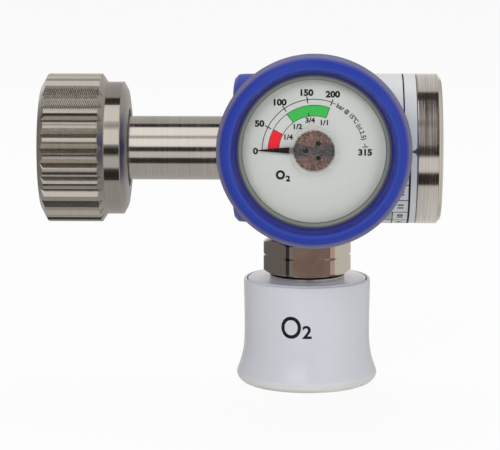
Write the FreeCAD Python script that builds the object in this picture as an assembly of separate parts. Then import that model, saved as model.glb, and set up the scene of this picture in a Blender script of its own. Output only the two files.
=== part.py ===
import FreeCAD, Part
import math
import os
from FreeCAD import Vector

# Compact oxygen cylinder regulator: knurled hand nut and stem on the left, turned body with a
# dial gauge in a blue guard, hexagon outlet fitting and a white quick coupler below.
# Millimetres. Origin at the mouth of the coupler, +X to the end cap, -Y to the viewer, +Z up.

# Layout
axis_height = 71.9           # body axis above the coupler mouth
gauge_x = 1.85               # gauge axis right of the coupler axis
gauge_rise = 4.1             # gauge axis above the body axis
stem_exposed = 30.7          # bare stem between the nut and the cover
run_fit = 0.08               # radial clearance of sliding and turning fits
loose_fit = 0.3              # gap between pieces that only pass each other
slip = 0.1                   # radial gap of pieces that are put together and stay

# Hand nut and nipple
nut_length = 27.95
nut_radius = 22.5
nut_toothed = 20.55
nut_tooth_count = 30
nut_groove_width = 3.0
nut_groove_depth = 1.9
nut_front_chamfer = (2.5, 3.6)
nut_front_dome = 0.5
nut_mid_chamfer = (1.5, 2.2)
nut_collar_radius = 20.15
nut_back_chamfer = (1.75, 2.35)
nut_back_dome = (0.5, 3.4)
nut_thread_radius = 12.06    # minor radius of a G3/4 female thread
nut_lead = 2.0
nut_thread_length = 10.0
nut_relief_radius = 13.2
nut_relief_length = 5.7
nut_back_bore_depth = 3.5
nut_back_bore_radius = 12.0
stem_radius = 9.7
nipple_flange_radius = 11.2
nipple_flange_thick = 3.0
nipple_nose_radius = 6.5
nipple_nose_length = 2.3
nipple_bore = 1.6
filter_radius = 4.2
filter_length = 7.0
clip_thick = 0.8
inlet_seal_section = 1.0
ring_groove_depth = 0.8
ring_thick = 1.1
spigot_radius = 6.9

# Body, cover, label and end cap
cover_left = -22.4
cover_wall = 1.1
cover_radius = 22.55
cover_right = 14.6
cover_corner = 1.6
collar_radius = 12.4
collar_wall = 1.2
body_right = 32.5
label_radius = 22.7
label_thick = 0.2
label_seam = 0.5
label_seam_rise = 0.8
inlet_hole_depth = 6.3
chamber_radius = 5.2
chamber_length = 8.5
stem_bore_length = 15.5
piston_stem_radius = 3.1
piston_stem_bore = 1.1
piston_bore_radius = 12.5
cap_seat_radius = 18.0
cap_seat_depth = 3.2
cap_radius = 22.75
cap_length = 7.57
cap_chamfer = 1.2
cap_recess_radius = 9.0
cap_recess_depth = 4.0
spanner_hole_radius = 1.6
spanner_hole_offset = 9.0
spanner_hole_depth = 3.5
piston_head = 4.9
piston_travel = 1.2
seal_section = 0.75
main_spring_wire = 1.1
main_spring_mean = 8.6
main_spring_turns = 4.0
seat_radius = 2.5
seat_thick = 1.5
seat_holder_length = 4.3
low_passage_radius = 1.3
low_passage_offset = 15.8
high_passage_radius = 0.9

# Pressure gauge
port_radius = 4.9
port_bottom = -13.0
port_face = -19.6
port_face_radius = 7.5
socket_hex = 11.0
case_back = -24.4
case_back_thick = 1.4
case_radius = 24.2
case_wall = 1.2
case_front = -42.4
guard_rim = 4.0                # guard beyond the case at its widest
guard_back_rim = 1.7
guard_draft = 1.3
guard_wall = 1.4
guard_taper = 3.5
guard_bevel = (1.8, 3.2)
guard_crest_inset = 0.1
guard_crest = -46.0
guard_lip = 2.0
window_inset = 3.6
bezel_thick = 1.2
lens_thick = 1.4
lens_boss_radius = 7.2
lens_boss_height = 0.3
hub_disc_radius = 6.03
hub_disc_thick = 0.4
hub_hole_radius = 0.8
hub_hole_pitch = 2.43
spacer_height = 1.9
dial_thick = 0.6
dial_post_radius = 1.6
pointer_reach = 15.7
pointer_root_reach = 7.5
pointer_tip_width = 0.3
pointer_root_width = 1.7
pointer_tail = 5.8
pointer_tail_width = 2.8
pointer_thick = 0.4
pointer_hub_radius = 3.3
arbor_radius = 0.5
gear_module = 0.25
pinion_teeth = 12
sector_full_teeth = 80
sector_first_tooth = -1
sector_last_tooth = 7
tooth_height = 0.8
tooth_backlash = 0.12
gear_thick = 0.8
sweep_deg = 25.92            # turn of the sector for the whole scale
plate_thick = 0.8
plate_gap = 3.2
plate_edge = 1.6
pillar_radius = 0.8
frame_half_width = 4.6
frame_foot = 3.5
frame_head = 4.2
tail_reach = 4.0
pin_radius = 0.45
link_thick = 0.5
link_width = 1.6
tube_inset = 6.7
tube_thick = 1.6
tube_height = 3.8
tube_sweep = 262.0
socket_block = 9.0

# Outlet fitting
hex_across = 24.0
hex_turned_radius = 13.35
hex_turn_deg = 5.5
hex_over_sleeve = 1.45
hex_height = 10.9
hex_chamfer_radius = 11.4
hex_groove_height = 5.85
hex_groove_width = 0.7
hex_groove_radius = 12.6
neck_radius = 10.5
outlet_depth = 19.1          # neck's shoulder below the body axis
outlet_thread_radius = 8.15
outlet_thread_length = 9.6
outlet_bore = 3.0
washer_radius = 11.5
washer_thick = 1.2
top_disc_radius = 18.06
top_disc_thick = 2.0
lower_thread_radius = 8.0
lower_thread_end = 24.7

# Coupler
probe_radius = 6.3
mouth_length = 5.2
probe_chamber_radius = 6.6
probe_chamber_top = 14.8
barrel_radius = 8.8
guide_radius = 14.0
guide_bottom = 24.0
valve_chamber_radius = 4.6
valve_seat_height = 17.0
valve_chamber_top = 24.5
valve_hole_radius = 2.9
probe_seal_height = 11.9
ball_radius = 1.6
ball_height = 7.8
ball_inside = 5.9            # innermost reach of a locking ball
ball_count = 3
ball_stroke = 0.6
sleeve_stroke = 4.0
sleeve_height = 32.1
sleeve_rim_radius = 19.35
sleeve_waist_radius = 19.12
sleeve_flare_radius = 21.45
sleeve_flare_height = 3.05
sleeve_lip_radius = 19.2
sleeve_mouth_radius = 11.2
sleeve_land_bottom = 2.6
sleeve_land_top = 11.0
sleeve_rim_bore = 18.4
stop_ring_radius = 10.7
stop_ring_height = 1.2
sleeve_spring_wire = 0.8
sleeve_spring_mean = 11.4
sleeve_spring_turns = 5.0
poppet_stem_radius = 1.6
poppet_nose = 13.6
poppet_seal_thick = 0.85
poppet_head = 2.6
valve_spring_wire = 0.4
valve_spring_mean = 3.3
valve_spring_turns = 7.0
valve_spring_seat = 29.8

# Derived places
gauge_z = axis_height + gauge_rise
outlet_face = axis_height - outlet_depth
hex_bottom = sleeve_height + hex_over_sleeve
guard_radius = case_radius + guard_rim
guard_back_radius = case_radius + guard_back_rim
guard_crest_radius = case_radius - guard_crest_inset
guard_lip_radius = case_radius - guard_lip
window_radius = case_radius - window_inset
tube_radius = case_radius - tube_inset
nut_back = cover_left - stem_exposed
nut_front = nut_back - nut_length
nut_cavity_end = nut_front + nut_lead + nut_thread_length + nut_relief_length
flange_back = nut_cavity_end - loose_fit
flange_front = flange_back - nipple_flange_thick
nose_front = flange_front - nipple_nose_length
ring_x = nut_back - nut_back_bore_depth + loose_fit
body_left = cover_left + cover_wall
body_radius = cover_radius - cover_wall - 0.05
label_seat_radius = label_radius - label_thick
inlet_hole_end = body_left + inlet_hole_depth
chamber_end = inlet_hole_end + chamber_length
piston_bore_left = chamber_end + stem_bore_length
cap_seat = body_right - cap_seat_depth
spigot_front = cap_seat + 0.2
piston_right = spigot_front - loose_fit
piston_left = piston_right - piston_head
seat_front = inlet_hole_end + seat_holder_length + seat_thick - 0.4
stem_tip = seat_front + piston_travel + slip
case_floor = case_back - case_back_thick
bezel_back = case_front + bezel_thick
lens_back = bezel_back + lens_thick
dial_front = lens_back + spacer_height
dial_back = dial_front + dial_thick
plate_rear = case_floor - 5.2
sector_radius = gear_module * sector_full_teeth / 2
pinion_radius = gear_module * pinion_teeth / 2
sector_drop = sector_radius + pinion_radius
gear_front = plate_rear - plate_thick - plate_gap / 2 - gear_thick / 2
link_front = gear_front + gear_thick + loose_fit
tail_rest = -sweep_deg / 2
tube_end = -90 - tube_sweep
ball_center = ball_inside + ball_radius
land_radius = ball_center + ball_radius + 0.04
land_slope = ball_stroke / sleeve_stroke
washer_bottom = hex_bottom - washer_thick
disc_bottom = washer_bottom - top_disc_thick
sleeve_shoulder = disc_bottom - sleeve_stroke - 0.2


def turned(points, origin, axis, side, degrees=360):
    """Solid turned about an axis from (along, radius) points."""
    corners = [origin + axis * a + side * r for a, r in points]
    face = Part.Face(Part.makePolygon(corners + [corners[0]]))
    return face.revolve(origin, axis, degrees)


def turned_x(points):
    return turned(points, Vector(0, 0, axis_height), Vector(1, 0, 0), Vector(0, 0, 1))


def turned_y(points, degrees=360):
    return turned(points, Vector(gauge_x, 0, gauge_z), Vector(0, 1, 0), Vector(1, 0, 0), degrees)


def turned_z(points):
    return turned(points, Vector(0, 0, 0), Vector(0, 0, 1), Vector(1, 0, 0))


def tube_x(left, right, inner, outer):
    return turned_x([(left, inner), (right, inner), (right, outer), (left, outer)])


def tube_y(back, front, inner, outer):
    return turned_y([(back, inner), (front, inner), (front, outer), (back, outer)])


def tube_z(low, high, inner, outer):
    return turned_z([(low, inner), (high, inner), (high, outer), (low, outer)])


def rod(start, end, radius):
    along = end - start
    return Part.makeCylinder(radius, along.Length, start, along)


def ring(center, axis, mean, section):
    return Part.makeTorus(mean, section, center, axis)


def coil(mean, wire, length, turns, place, axis):
    """Round-wire compression spring that starts at place and runs along axis."""
    rise = (length - 2 * wire) / turns
    points = []
    for step in range(int(turns * 8) + 1):
        x, y = polar(mean, 45 * step)
        points.append(Vector(x, y, wire + rise * step / 8.0))
    curve = Part.BSplineCurve()
    curve.interpolate(points)
    first = curve.FirstParameter
    quarter = (curve.LastParameter - first) / (4 * turns)
    edges = [curve.toShape(first + quarter * k, first + quarter * (k + 1)) for k in range(int(4 * turns))]
    section = Part.Wire([Part.makeCircle(wire, points[0], curve.tangent(first)[0])])
    body = Part.Wire(edges).makePipeShell([section], True, True)
    body.Placement = FreeCAD.Placement(place, FreeCAD.Rotation(Vector(0, 0, 1), axis)).multiply(
        body.Placement)
    return body


def snap_ring(place, axis, inner, outer, thick, gap):
    """Open retaining ring with a gap of some millimetres."""
    body = Part.makeCylinder(outer, thick, place, axis)
    body = body.cut(Part.makeCylinder(inner, thick, place, axis))
    slot = Part.makeBox(gap, outer + 1, thick + 2)
    slot.translate(Vector(-gap / 2, 0, -1))
    slot.Placement = FreeCAD.Placement(place, FreeCAD.Rotation(Vector(0, 0, 1), axis)).multiply(
        slot.Placement)
    return body.cut(slot)


def plan(x, z, y):
    """Point in the gauge, x and z from its axis."""
    return Vector(gauge_x + x, y, gauge_z + z)


def plate(outline, front, thick):
    """Flat gauge piece cut from a closed list of (x, z)."""
    corners = [plan(x, z, front) for x, z in outline]
    return Part.Face(Part.makePolygon(corners + [corners[0]])).extrude(Vector(0, thick, 0))


def polar(radius, degrees):
    angle = math.radians(degrees)
    return (radius * math.cos(angle), radius * math.sin(angle))


def inlet_hand_nut():
    back = nut_back
    collar = nut_front + nut_toothed
    shell = turned_x([
        (nut_front, nut_thread_radius + 1.2),
        (nut_front + nut_lead, nut_thread_radius),
        (nut_front + nut_lead + nut_thread_length, nut_thread_radius),
        (nut_front + nut_lead + nut_thread_length, nut_relief_radius),
        (nut_cavity_end, nut_relief_radius),
        (nut_cavity_end, stem_radius + run_fit),
        (back - nut_back_bore_depth, stem_radius + run_fit),
        (back - nut_back_bore_depth, nut_back_bore_radius),
        (back, nut_back_bore_radius),
        (back, nut_collar_radius - nut_back_chamfer[1] - nut_back_dome[1]),
        (back - nut_back_dome[0], nut_collar_radius - nut_back_chamfer[1]),
        (back - nut_back_chamfer[0], nut_collar_radius),
        (collar, nut_collar_radius),
        (collar, nut_radius - nut_mid_chamfer[1]),
        (collar - nut_mid_chamfer[0], nut_radius),
        (nut_front + nut_front_chamfer[0], nut_radius),
        (nut_front + nut_front_dome, nut_radius - nut_front_chamfer[1]),
        (nut_front, nut_thread_radius + 2.4)])
    half = nut_groove_width / 2
    depth = nut_groove_depth
    extra = half / depth
    groove = Part.makePolygon([
        Vector(nut_front - 1, 0, axis_height + nut_radius - depth),
        Vector(nut_front - 1, half + extra, axis_height + nut_radius + 1),
        Vector(nut_front - 1, -half - extra, axis_height + nut_radius + 1),
        Vector(nut_front - 1, 0, axis_height + nut_radius - depth)])
    cutter = Part.Face(groove).extrude(Vector(nut_toothed + 1, 0, 0))
    cutters = []
    for index in range(nut_tooth_count):
        copy = cutter.copy()
        turn = (index + 0.5) * 360.0 / nut_tooth_count
        copy.rotate(Vector(0, 0, axis_height), Vector(1, 0, 0), turn)
        cutters.append(copy)
    return shell.cut(cutters)


def inlet_nipple():
    pocket_end = nose_front + filter_length + clip_thick + 0.4
    groove = stem_radius - ring_groove_depth
    return turned_x([
        (nose_front, filter_radius),
        (pocket_end, filter_radius),
        (pocket_end, nipple_bore),
        (inlet_hole_end, nipple_bore),
        (inlet_hole_end, spigot_radius),
        (body_left, spigot_radius),
        (body_left, stem_radius),
        (ring_x + ring_thick, stem_radius),
        (ring_x + ring_thick, groove),
        (ring_x, groove),
        (ring_x, stem_radius),
        (flange_back, stem_radius),
        (flange_back, nipple_flange_radius),
        (flange_front, nipple_flange_radius),
        (flange_front, nipple_nose_radius),
        (nose_front, nipple_nose_radius)])


def nut_retaining_ring():
    place = Vector(ring_x, 0, axis_height)
    inner = stem_radius - ring_groove_depth
    return snap_ring(place, Vector(1, 0, 0), inner, nipple_flange_radius, ring_thick, 4.0)


def inlet_seal_ring():
    place = Vector(flange_front - inlet_seal_section, 0, axis_height)
    return ring(place, Vector(1, 0, 0), nipple_nose_radius + inlet_seal_section + 0.05, inlet_seal_section)


def inlet_filter():
    end = nose_front + filter_length + clip_thick + 0.4
    return turned_x([
        (end - filter_length, 0), (end, 0), (end, filter_radius - 0.02),
        (end - filter_length + 1.5, filter_radius - 0.02), (end - filter_length, 2.6)])


def filter_clip():
    left = nose_front + 0.4
    return tube_x(left, left + clip_thick, 2.2, filter_radius - 0.02)


def regulator_body():
    groove = piston_bore_left - 3.9
    body = turned_x([
        (body_left, spigot_radius + slip),
        (inlet_hole_end, spigot_radius + slip),
        (inlet_hole_end, chamber_radius),
        (chamber_end, chamber_radius),
        (chamber_end, piston_stem_radius + run_fit),
        (groove, piston_stem_radius + run_fit),
        (groove, piston_stem_radius + 2 * seal_section + slip),
        (groove + 1.9, piston_stem_radius + 2 * seal_section + slip),
        (groove + 1.9, piston_stem_radius + run_fit),
        (piston_bore_left, piston_stem_radius + run_fit),
        (piston_bore_left, piston_bore_radius),
        (cap_seat, piston_bore_radius),
        (cap_seat, cap_seat_radius),
        (body_right, cap_seat_radius),
        (body_right, label_seat_radius),
        (cover_right + 0.2, label_seat_radius),
        (cover_right + 0.2, body_radius),
        (body_left + 0.8, body_radius),
        (body_left, body_radius - 0.8)])
    low = axis_height - low_passage_offset
    outlet_top = outlet_face + outlet_thread_length + 0.2
    port = Vector(gauge_x, port_bottom, gauge_z)
    chamber = Vector((inlet_hole_end + chamber_end) / 2 + 2, -chamber_radius + 1, axis_height)
    cuts = [
        Part.makeCylinder(neck_radius + 1.0, outlet_face - axis_height + 2 * body_radius,
                          Vector(0, 0, axis_height - 2 * body_radius), Vector(0, 0, 1)),
        Part.makeCylinder(outlet_thread_radius + 0.05, outlet_top - outlet_face + 1,
                          Vector(0, 0, outlet_face - 1), Vector(0, 0, 1)),
        rod(Vector(0, 0, low), Vector(cap_seat + 0.1, 0, low), low_passage_radius),
        rod(Vector(gauge_x, 2 * port_face, gauge_z), port, port_radius),
        rod(Vector(gauge_x, 2 * port_face, gauge_z), Vector(gauge_x, port_face, gauge_z), port_face_radius),
        rod(Vector(gauge_x, port_bottom - 1, axis_height + 1), chamber, high_passage_radius)]
    return body.cut(cuts)


def body_cover():
    inner = body_radius + 0.05
    bulge = 0.35
    shell = turned_x([
        (cover_left + bulge, stem_radius + 0.2),
        (cover_left, stem_radius + 3.5),
        (cover_left, cover_radius - 2.2 * cover_corner),
        (cover_left + bulge, cover_radius - cover_corner),
        (cover_left + cover_corner, cover_radius - 0.2),
        (cover_left + 2.2 * cover_corner, cover_radius),
        (cover_right, cover_radius),
        (cover_right, inner),
        (body_left, inner),
        (body_left, stem_radius + 0.2)])
    collar = tube_y(case_back, -body_radius / 2, collar_radius - collar_wall, collar_radius)
    core = Part.makeCylinder(inner, cover_right - cover_left, Vector(cover_left, 0, axis_height), Vector(1, 0, 0))
    collar = collar.cut(core)
    window = rod(Vector(gauge_x, 2 * port_face, gauge_z), Vector(gauge_x, 0, gauge_z), collar_radius - collar_wall)
    mouth = Part.makeCylinder(neck_radius + 0.6, axis_height, Vector(0, 0, 0), Vector(0, 0, 1))
    return shell.fuse(collar).cut([window, mouth])


def rating_label():
    body = tube_x(cover_right + 0.4, body_right - 0.2, label_seat_radius, label_radius)
    length = body_right - cover_right
    seam = Part.makeBox(length, label_radius, label_seam)
    seam.translate(Vector(cover_right, -label_radius - 1, axis_height + label_seam_rise - label_seam / 2))
    return body.cut(seam)


def end_cap():
    right = body_right + cap_length
    groove = cap_seat_radius - 2 * seal_section - slip
    body = turned_x([
        (spigot_front + cap_recess_depth, 0),
        (spigot_front + cap_recess_depth, cap_recess_radius),
        (spigot_front, cap_recess_radius),
        (spigot_front, cap_seat_radius - slip),
        (spigot_front + 0.6, cap_seat_radius - slip),
        (spigot_front + 0.6, groove),
        (spigot_front + 2.4, groove),
        (spigot_front + 2.4, cap_seat_radius - slip),
        (body_right, cap_seat_radius - slip),
        (body_right, cap_radius - 0.3),
        (body_right + 0.3, cap_radius),
        (right - cap_chamfer, cap_radius),
        (right, cap_radius - cap_chamfer),
        (right, 0)])
    holes = []
    for side in (-1, 1):
        place = Vector(right - spanner_hole_depth, side * spanner_hole_offset, axis_height)
        holes.append(Part.makeCylinder(spanner_hole_radius, spanner_hole_depth + 1, place, Vector(1, 0, 0)))
    return body.cut(holes)


def end_cap_seal():
    place = Vector(spigot_front + 1.5, 0, axis_height)
    return ring(place, Vector(1, 0, 0), cap_seat_radius - seal_section - slip, seal_section)


def piston():
    groove = piston_bore_radius - run_fit - 2 * seal_section
    middle = (piston_left + piston_right) / 2
    return turned_x([
        (stem_tip, piston_stem_bore),
        (piston_right, piston_stem_bore),
        (piston_right, piston_bore_radius - run_fit),
        (middle + 0.9, piston_bore_radius - run_fit),
        (middle + 0.9, groove),
        (middle - 0.9, groove),
        (middle - 0.9, piston_bore_radius - run_fit),
        (piston_left, piston_bore_radius - run_fit),
        (piston_left, piston_stem_radius),
        (stem_tip + 0.8, piston_stem_radius),
        (stem_tip, piston_stem_bore + 0.9)])


def piston_seal():
    place = Vector((piston_left + piston_right) / 2, 0, axis_height)
    return ring(place, Vector(1, 0, 0), piston_bore_radius - run_fit - seal_section + 0.01, seal_section)


def piston_stem_seal():
    place = Vector(piston_bore_left - 2.95, 0, axis_height)
    return ring(place, Vector(1, 0, 0), piston_stem_radius + seal_section + run_fit, seal_section)


def main_spring():
    place = Vector(piston_bore_left + 0.05, 0, axis_height)
    length = piston_left - piston_bore_left - 0.1
    return coil(main_spring_mean, main_spring_wire, length, main_spring_turns, place, Vector(1, 0, 0))


def seat_holder():
    left = inlet_hole_end + 0.05
    right = inlet_hole_end + seat_holder_length
    body = turned_x([
        (left, 0), (left, chamber_radius - slip), (right, chamber_radius - slip),
        (right, seat_radius + 0.05), (right - 0.4, seat_radius + 0.05), (right - 0.4, 0)])
    cross = Part.makeBox(1.6, chamber_radius * 2, 2.2)
    cross.translate(Vector(left, -chamber_radius, axis_height - 1.1))
    holes = [cross]
    for index in range(4):
        y, z = polar((seat_radius + chamber_radius) / 2, 45 + 90 * index)
        holes.append(Part.makeCylinder(0.8, seat_holder_length + 1, Vector(left - 0.5, y, axis_height + z),
                                       Vector(1, 0, 0)))
    return body.cut(holes)


def valve_seat():
    back = inlet_hole_end + seat_holder_length - 0.4
    return turned_x([(back, 0), (back, seat_radius), (seat_front - 0.3, seat_radius),
                     (seat_front, seat_radius - 0.3), (seat_front, 0)])


def gauge_guard():
    front = guard_crest
    body = turned_y([
        (case_back + guard_wall, collar_radius + 0.2),
        (case_back + guard_wall, guard_back_radius),
        (case_back - guard_taper, guard_radius - guard_draft),
        (front + 0.7 + guard_bevel[1], guard_radius),
        (front + 0.7, guard_radius - guard_bevel[0]),
        (front + 0.15, guard_radius - guard_bevel[0] - 0.9),
        (front, guard_crest_radius + 0.8),
        (front, guard_crest_radius),
        (front + 0.25, guard_crest_radius - 0.6),
        (case_front, guard_lip_radius),
        (case_front, case_radius + slip),
        (case_back, case_radius + slip),
        (case_back, collar_radius + 0.2)])
    return body


def gauge_case():
    inner = case_radius - case_wall
    shell = turned_y([
        (case_back, port_radius + slip),
        (case_back, case_radius),
        (case_front, case_radius),
        (case_front, inner),
        (case_floor, inner),
        (case_floor, port_radius + slip)])
    posts = []
    for index in range(3):
        x, z = polar(inner - dial_post_radius + 0.5, 30 + 120 * index)
        posts.append(rod(plan(x, z, case_floor), plan(x, z, dial_back), dial_post_radius))
    trim = tube_y(case_floor + 0.5, dial_back - 0.5, (inner + case_radius) / 2, 2 * case_radius)
    posts = [post.cut(trim) for post in posts]
    return shell.fuse(posts)


def gauge_bezel():
    outer = case_radius - case_wall - slip
    return turned_y([
        (bezel_back, window_radius),
        (bezel_back, outer),
        (case_front + 0.1, outer),
        (case_front + 0.1, guard_lip_radius - 0.4),
        (case_front + 0.6, window_radius + 0.4)])


def gauge_lens():
    outer = case_radius - case_wall - slip
    return turned_y([
        (lens_back, 0), (lens_back, outer), (bezel_back, outer),
        (bezel_back, lens_boss_radius), (bezel_back - lens_boss_height, lens_boss_radius - 0.3),
        (bezel_back - lens_boss_height, 0)])


def lens_hub_disc():
    body = rod(plan(0, 0, lens_back), plan(0, 0, lens_back + hub_disc_thick), hub_disc_radius)
    holes = []
    for index in range(3):
        x, z = polar(hub_hole_pitch, 60 + 120 * index)
        holes.append(rod(plan(x, z, lens_back - 1), plan(x, z, lens_back + hub_disc_thick + 1), hub_hole_radius))
    return body.cut(holes)


def dial_spacer():
    outer = case_radius - case_wall - slip
    return tube_y(lens_back, dial_front, window_radius + 0.5, outer)


def gauge_dial():
    outer = case_radius - case_wall - slip
    return tube_y(dial_front, dial_back, 1.6, outer)


def gauge_pointer():
    front = dial_front - 1.1
    half = pointer_root_width / 2
    tail = pointer_tail_width / 2
    blade = plate([
        (-pointer_reach, -pointer_tip_width / 2), (-pointer_root_reach, -half), (-1.0, -half * 1.15), (1.0, -tail * 0.6),
        (pointer_tail, -tail), (pointer_tail, tail), (1.0, tail * 0.6), (-1.0, half * 1.15),
        (-pointer_root_reach, half), (-pointer_reach, pointer_tip_width / 2)], front, pointer_thick)
    hub = rod(plan(0, 0, front - 0.3), plan(0, 0, front + pointer_thick + 0.2), pointer_hub_radius)
    hole = rod(plan(0, 0, front - 1), plan(0, 0, front + 2), arbor_radius + 0.02)
    return blade.fuse(hub).cut(hole)


def involute(base, radius):
    return math.degrees(math.sqrt((radius / base) ** 2 - 1) - math.acos(base / radius))


def tooth_outline(teeth, middle, tip, root):
    """Points of one involute tooth, clockwise to anticlockwise, about angle middle."""
    pitch = gear_module * teeth / 2
    base = pitch * math.cos(math.radians(20))
    half = 90.0 / teeth - math.degrees(tooth_backlash / 2 / pitch) + involute(base, pitch)
    low = max(root, base)
    rising = []
    for step in range(4):
        radius = low + (tip - low) * step / 3.0
        rising.append((radius, half - involute(base, radius)))
    left = [polar(root, middle - half)] + [polar(r, middle - a) for r, a in rising]
    right = [polar(r, middle + a) for r, a in reversed(rising)] + [polar(root, middle + half)]
    return left + right


def pointer_arbor():
    tip = pinion_radius + tooth_height * gear_module
    root = pinion_radius - (tooth_height + 0.3) * gear_module
    outline = []
    for index in range(pinion_teeth):
        outline += tooth_outline(pinion_teeth, -90 + (index + 0.5) * 360.0 / pinion_teeth, tip, root)
    gear = plate(outline, gear_front - 0.1, gear_thick + 0.2)
    front = dial_front - 1.1 - 0.3
    shaft = rod(plan(0, 0, plate_rear), plan(0, 0, front), arbor_radius)
    return gear.fuse(shaft)


def sector_gear():
    tip = sector_radius + tooth_height * gear_module
    root = sector_radius - (tooth_height + 0.3) * gear_module
    pitch = 360.0 / sector_full_teeth
    outline = []
    for index in range(sector_last_tooth, sector_first_tooth - 1, -1):
        outline += tooth_outline(sector_full_teeth, 90 - index * pitch, tip, root)
    first = 90 - (sector_last_tooth + 0.5) * pitch
    last = 90 - (sector_first_tooth - 0.5) * pitch
    rim = [polar(root - 1.2, last)] + [polar(root - 1.2, first + (last - first) * k / 6.0) for k in range(6, -1, -1)]
    toothed = outline + [polar(root, last)] + rim[1:] + [polar(root, first)]
    spoke_one = polar(root - 0.7, first + 2.5 * pitch)
    spoke_two = polar(root - 0.7, last - 2.5 * pitch)
    web = [(-0.8, 0.3), (-0.8, -0.5), (0.9, -0.5), (0.9, 0.6), spoke_one, spoke_two]
    tail_x, tail_z = polar(tail_reach, tail_rest)
    arm = [(0.0, 0.8), (0.0, -0.8), (tail_x, tail_z - 0.8), (tail_x, tail_z + 0.8)]

    def lowered(points):
        return [(x, z - sector_drop) for x, z in points]

    body = plate(lowered(toothed), gear_front, gear_thick)
    body = body.fuse([
        plate(lowered(web), gear_front, gear_thick),
        plate(lowered(arm), gear_front, gear_thick),
        rod(plan(tail_x, tail_z - sector_drop, gear_front),
            plan(tail_x, tail_z - sector_drop, gear_front + gear_thick), 0.9),
        rod(plan(tail_x, tail_z - sector_drop, gear_front),
            plan(tail_x, tail_z - sector_drop, link_front + link_thick + 0.05), pin_radius),
        rod(plan(0, -sector_drop, plate_rear - plate_thick - 0.05),
            plan(0, -sector_drop, plate_rear - plate_thick - plate_gap + 0.05), 1.3),
        rod(plan(0, -sector_drop, plate_rear), plan(0, -sector_drop, plate_rear - 2 * plate_thick - plate_gap),
            arbor_radius)])
    return body


def movement_frame():
    foot = -sector_drop - frame_foot
    corners = [(-frame_half_width, foot), (frame_half_width, foot), (0, frame_head)]
    pieces = []
    for front in (plate_rear - plate_thick, plate_rear - 2 * plate_thick - plate_gap):
        wire = Part.makePolygon([Vector(x, z, 0) for x, z in corners + corners[:1]])
        face = Part.Face(wire.makeOffset2D(plate_edge))
        sheet = face.extrude(Vector(0, 0, plate_thick))
        sheet.rotate(Vector(0, 0, 0), Vector(1, 0, 0), 90)
        sheet.translate(plan(0, 0, front + plate_thick))
        pieces.append(sheet)
    for x, z in corners:
        pieces.append(rod(plan(x, z, plate_rear - plate_thick / 2),
                          plan(x, z, plate_rear - 1.5 * plate_thick - plate_gap), pillar_radius))
    frame = pieces[0].fuse(pieces[1:])
    back = plate_rear + 1
    front = plate_rear - 2 * plate_thick - plate_gap - 1
    holes = [rod(plan(0, 0, back), plan(0, 0, front), arbor_radius + 0.06),
             rod(plan(0, -sector_drop, back), plan(0, -sector_drop, front), arbor_radius + 0.06)]
    return frame.cut(holes)


def movement_link():
    tail_x, tail_z = polar(tail_reach, tail_rest)
    start = Vector(tail_x, tail_z - sector_drop, 0)
    end_x, end_z = polar(tube_radius, tube_end)
    end = Vector(end_x, end_z, 0)
    rise = 2 * tail_reach * math.sin(math.radians(sweep_deg / 2))
    slot_half = pin_radius + 0.25
    front = link_front
    back = front + link_thick
    along = (end - start).normalize()
    across = Vector(-along.y, along.x, 0) * (link_width / 2)
    low = end + Vector(0, -rise, 0)
    stop = low + (start - low).normalize() * 0.2
    bar = [start + across, start - across, stop - across, stop + across]
    body = plate([(p.x, p.y) for p in bar], front, link_thick)
    eye = slot_half + 0.7
    frame = [(end.x - eye, low.y), (end.x + eye, low.y), (end.x + eye, end.y), (end.x - eye, end.y)]
    hole = [(end.x - slot_half, low.y), (end.x + slot_half, low.y),
            (end.x + slot_half, end.y), (end.x - slot_half, end.y)]
    body = body.fuse([
        plate(frame, front, link_thick),
        rod(plan(start.x, start.y, front), plan(start.x, start.y, back), link_width / 2 + 0.2),
        rod(plan(end.x, low.y, front), plan(end.x, low.y, back), eye),
        rod(plan(end.x, end.y, front), plan(end.x, end.y, back), eye)])
    return body.cut([
        plate(hole, front - 1, link_thick + 2),
        rod(plan(start.x, start.y, front - 1), plan(start.x, start.y, back + 1), pin_radius + 0.06),
        rod(plan(end.x, low.y, front - 1), plan(end.x, low.y, back + 1), slot_half),
        rod(plan(end.x, end.y, front - 1), plan(end.x, end.y, back + 1), slot_half)])


def bourdon_tube():
    middle = (case_floor + plate_rear) / 2
    half = tube_height / 2
    inner = tube_radius - tube_thick / 2
    outer = tube_radius + tube_thick / 2
    round_off = tube_thick / 3
    body = turned_y([
        (middle - half, inner + round_off), (middle - half, outer - round_off), (middle - half + round_off, outer),
        (middle + half - round_off, outer), (middle + half, outer - round_off), (middle + half, inner + round_off),
        (middle + half - round_off, inner), (middle - half + round_off, inner)], tube_sweep)
    center = Vector(gauge_x, 0, gauge_z)
    body.rotate(center, Vector(0, 1, 0), 90)
    x, z = polar(tube_radius, tube_end)
    pin = rod(plan(x, z, middle), plan(x, z, gear_front + gear_thick), pin_radius)
    tip = rod(plan(x, z, middle + half), plan(x, z, middle - half), tube_thick / 2 + 0.6)
    body = body.fuse([tip, pin])
    block = Part.makeBox(socket_block, 2 * tube_height, 5 * tube_thick)
    block.translate(plan(-socket_block / 2, -tube_radius - 2.5 * tube_thick, middle - tube_height))
    return body.cut(block)


def gauge_socket():
    block = Part.makeBox(socket_block, case_floor - plate_rear, tube_radius + tube_thick / 2 + 6)
    block.translate(plan(-socket_block / 2, -tube_radius - tube_thick / 2 - 1, plate_rear))
    stem = rod(plan(0, 0, case_floor), plan(0, 0, port_bottom - 0.4), port_radius - 0.05)
    wire = Part.makePolygon([plan(*polar(socket_hex / math.sqrt(3), 30 + 60 * k), case_back) for k in range(7)])
    nut = Part.Face(wire).extrude(Vector(0, port_face - case_back, 0))
    bore = rod(plan(0, 0, plate_rear + 2), plan(0, 0, port_bottom), 1.2)
    return block.fuse([stem, nut]).cut(bore)


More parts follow.
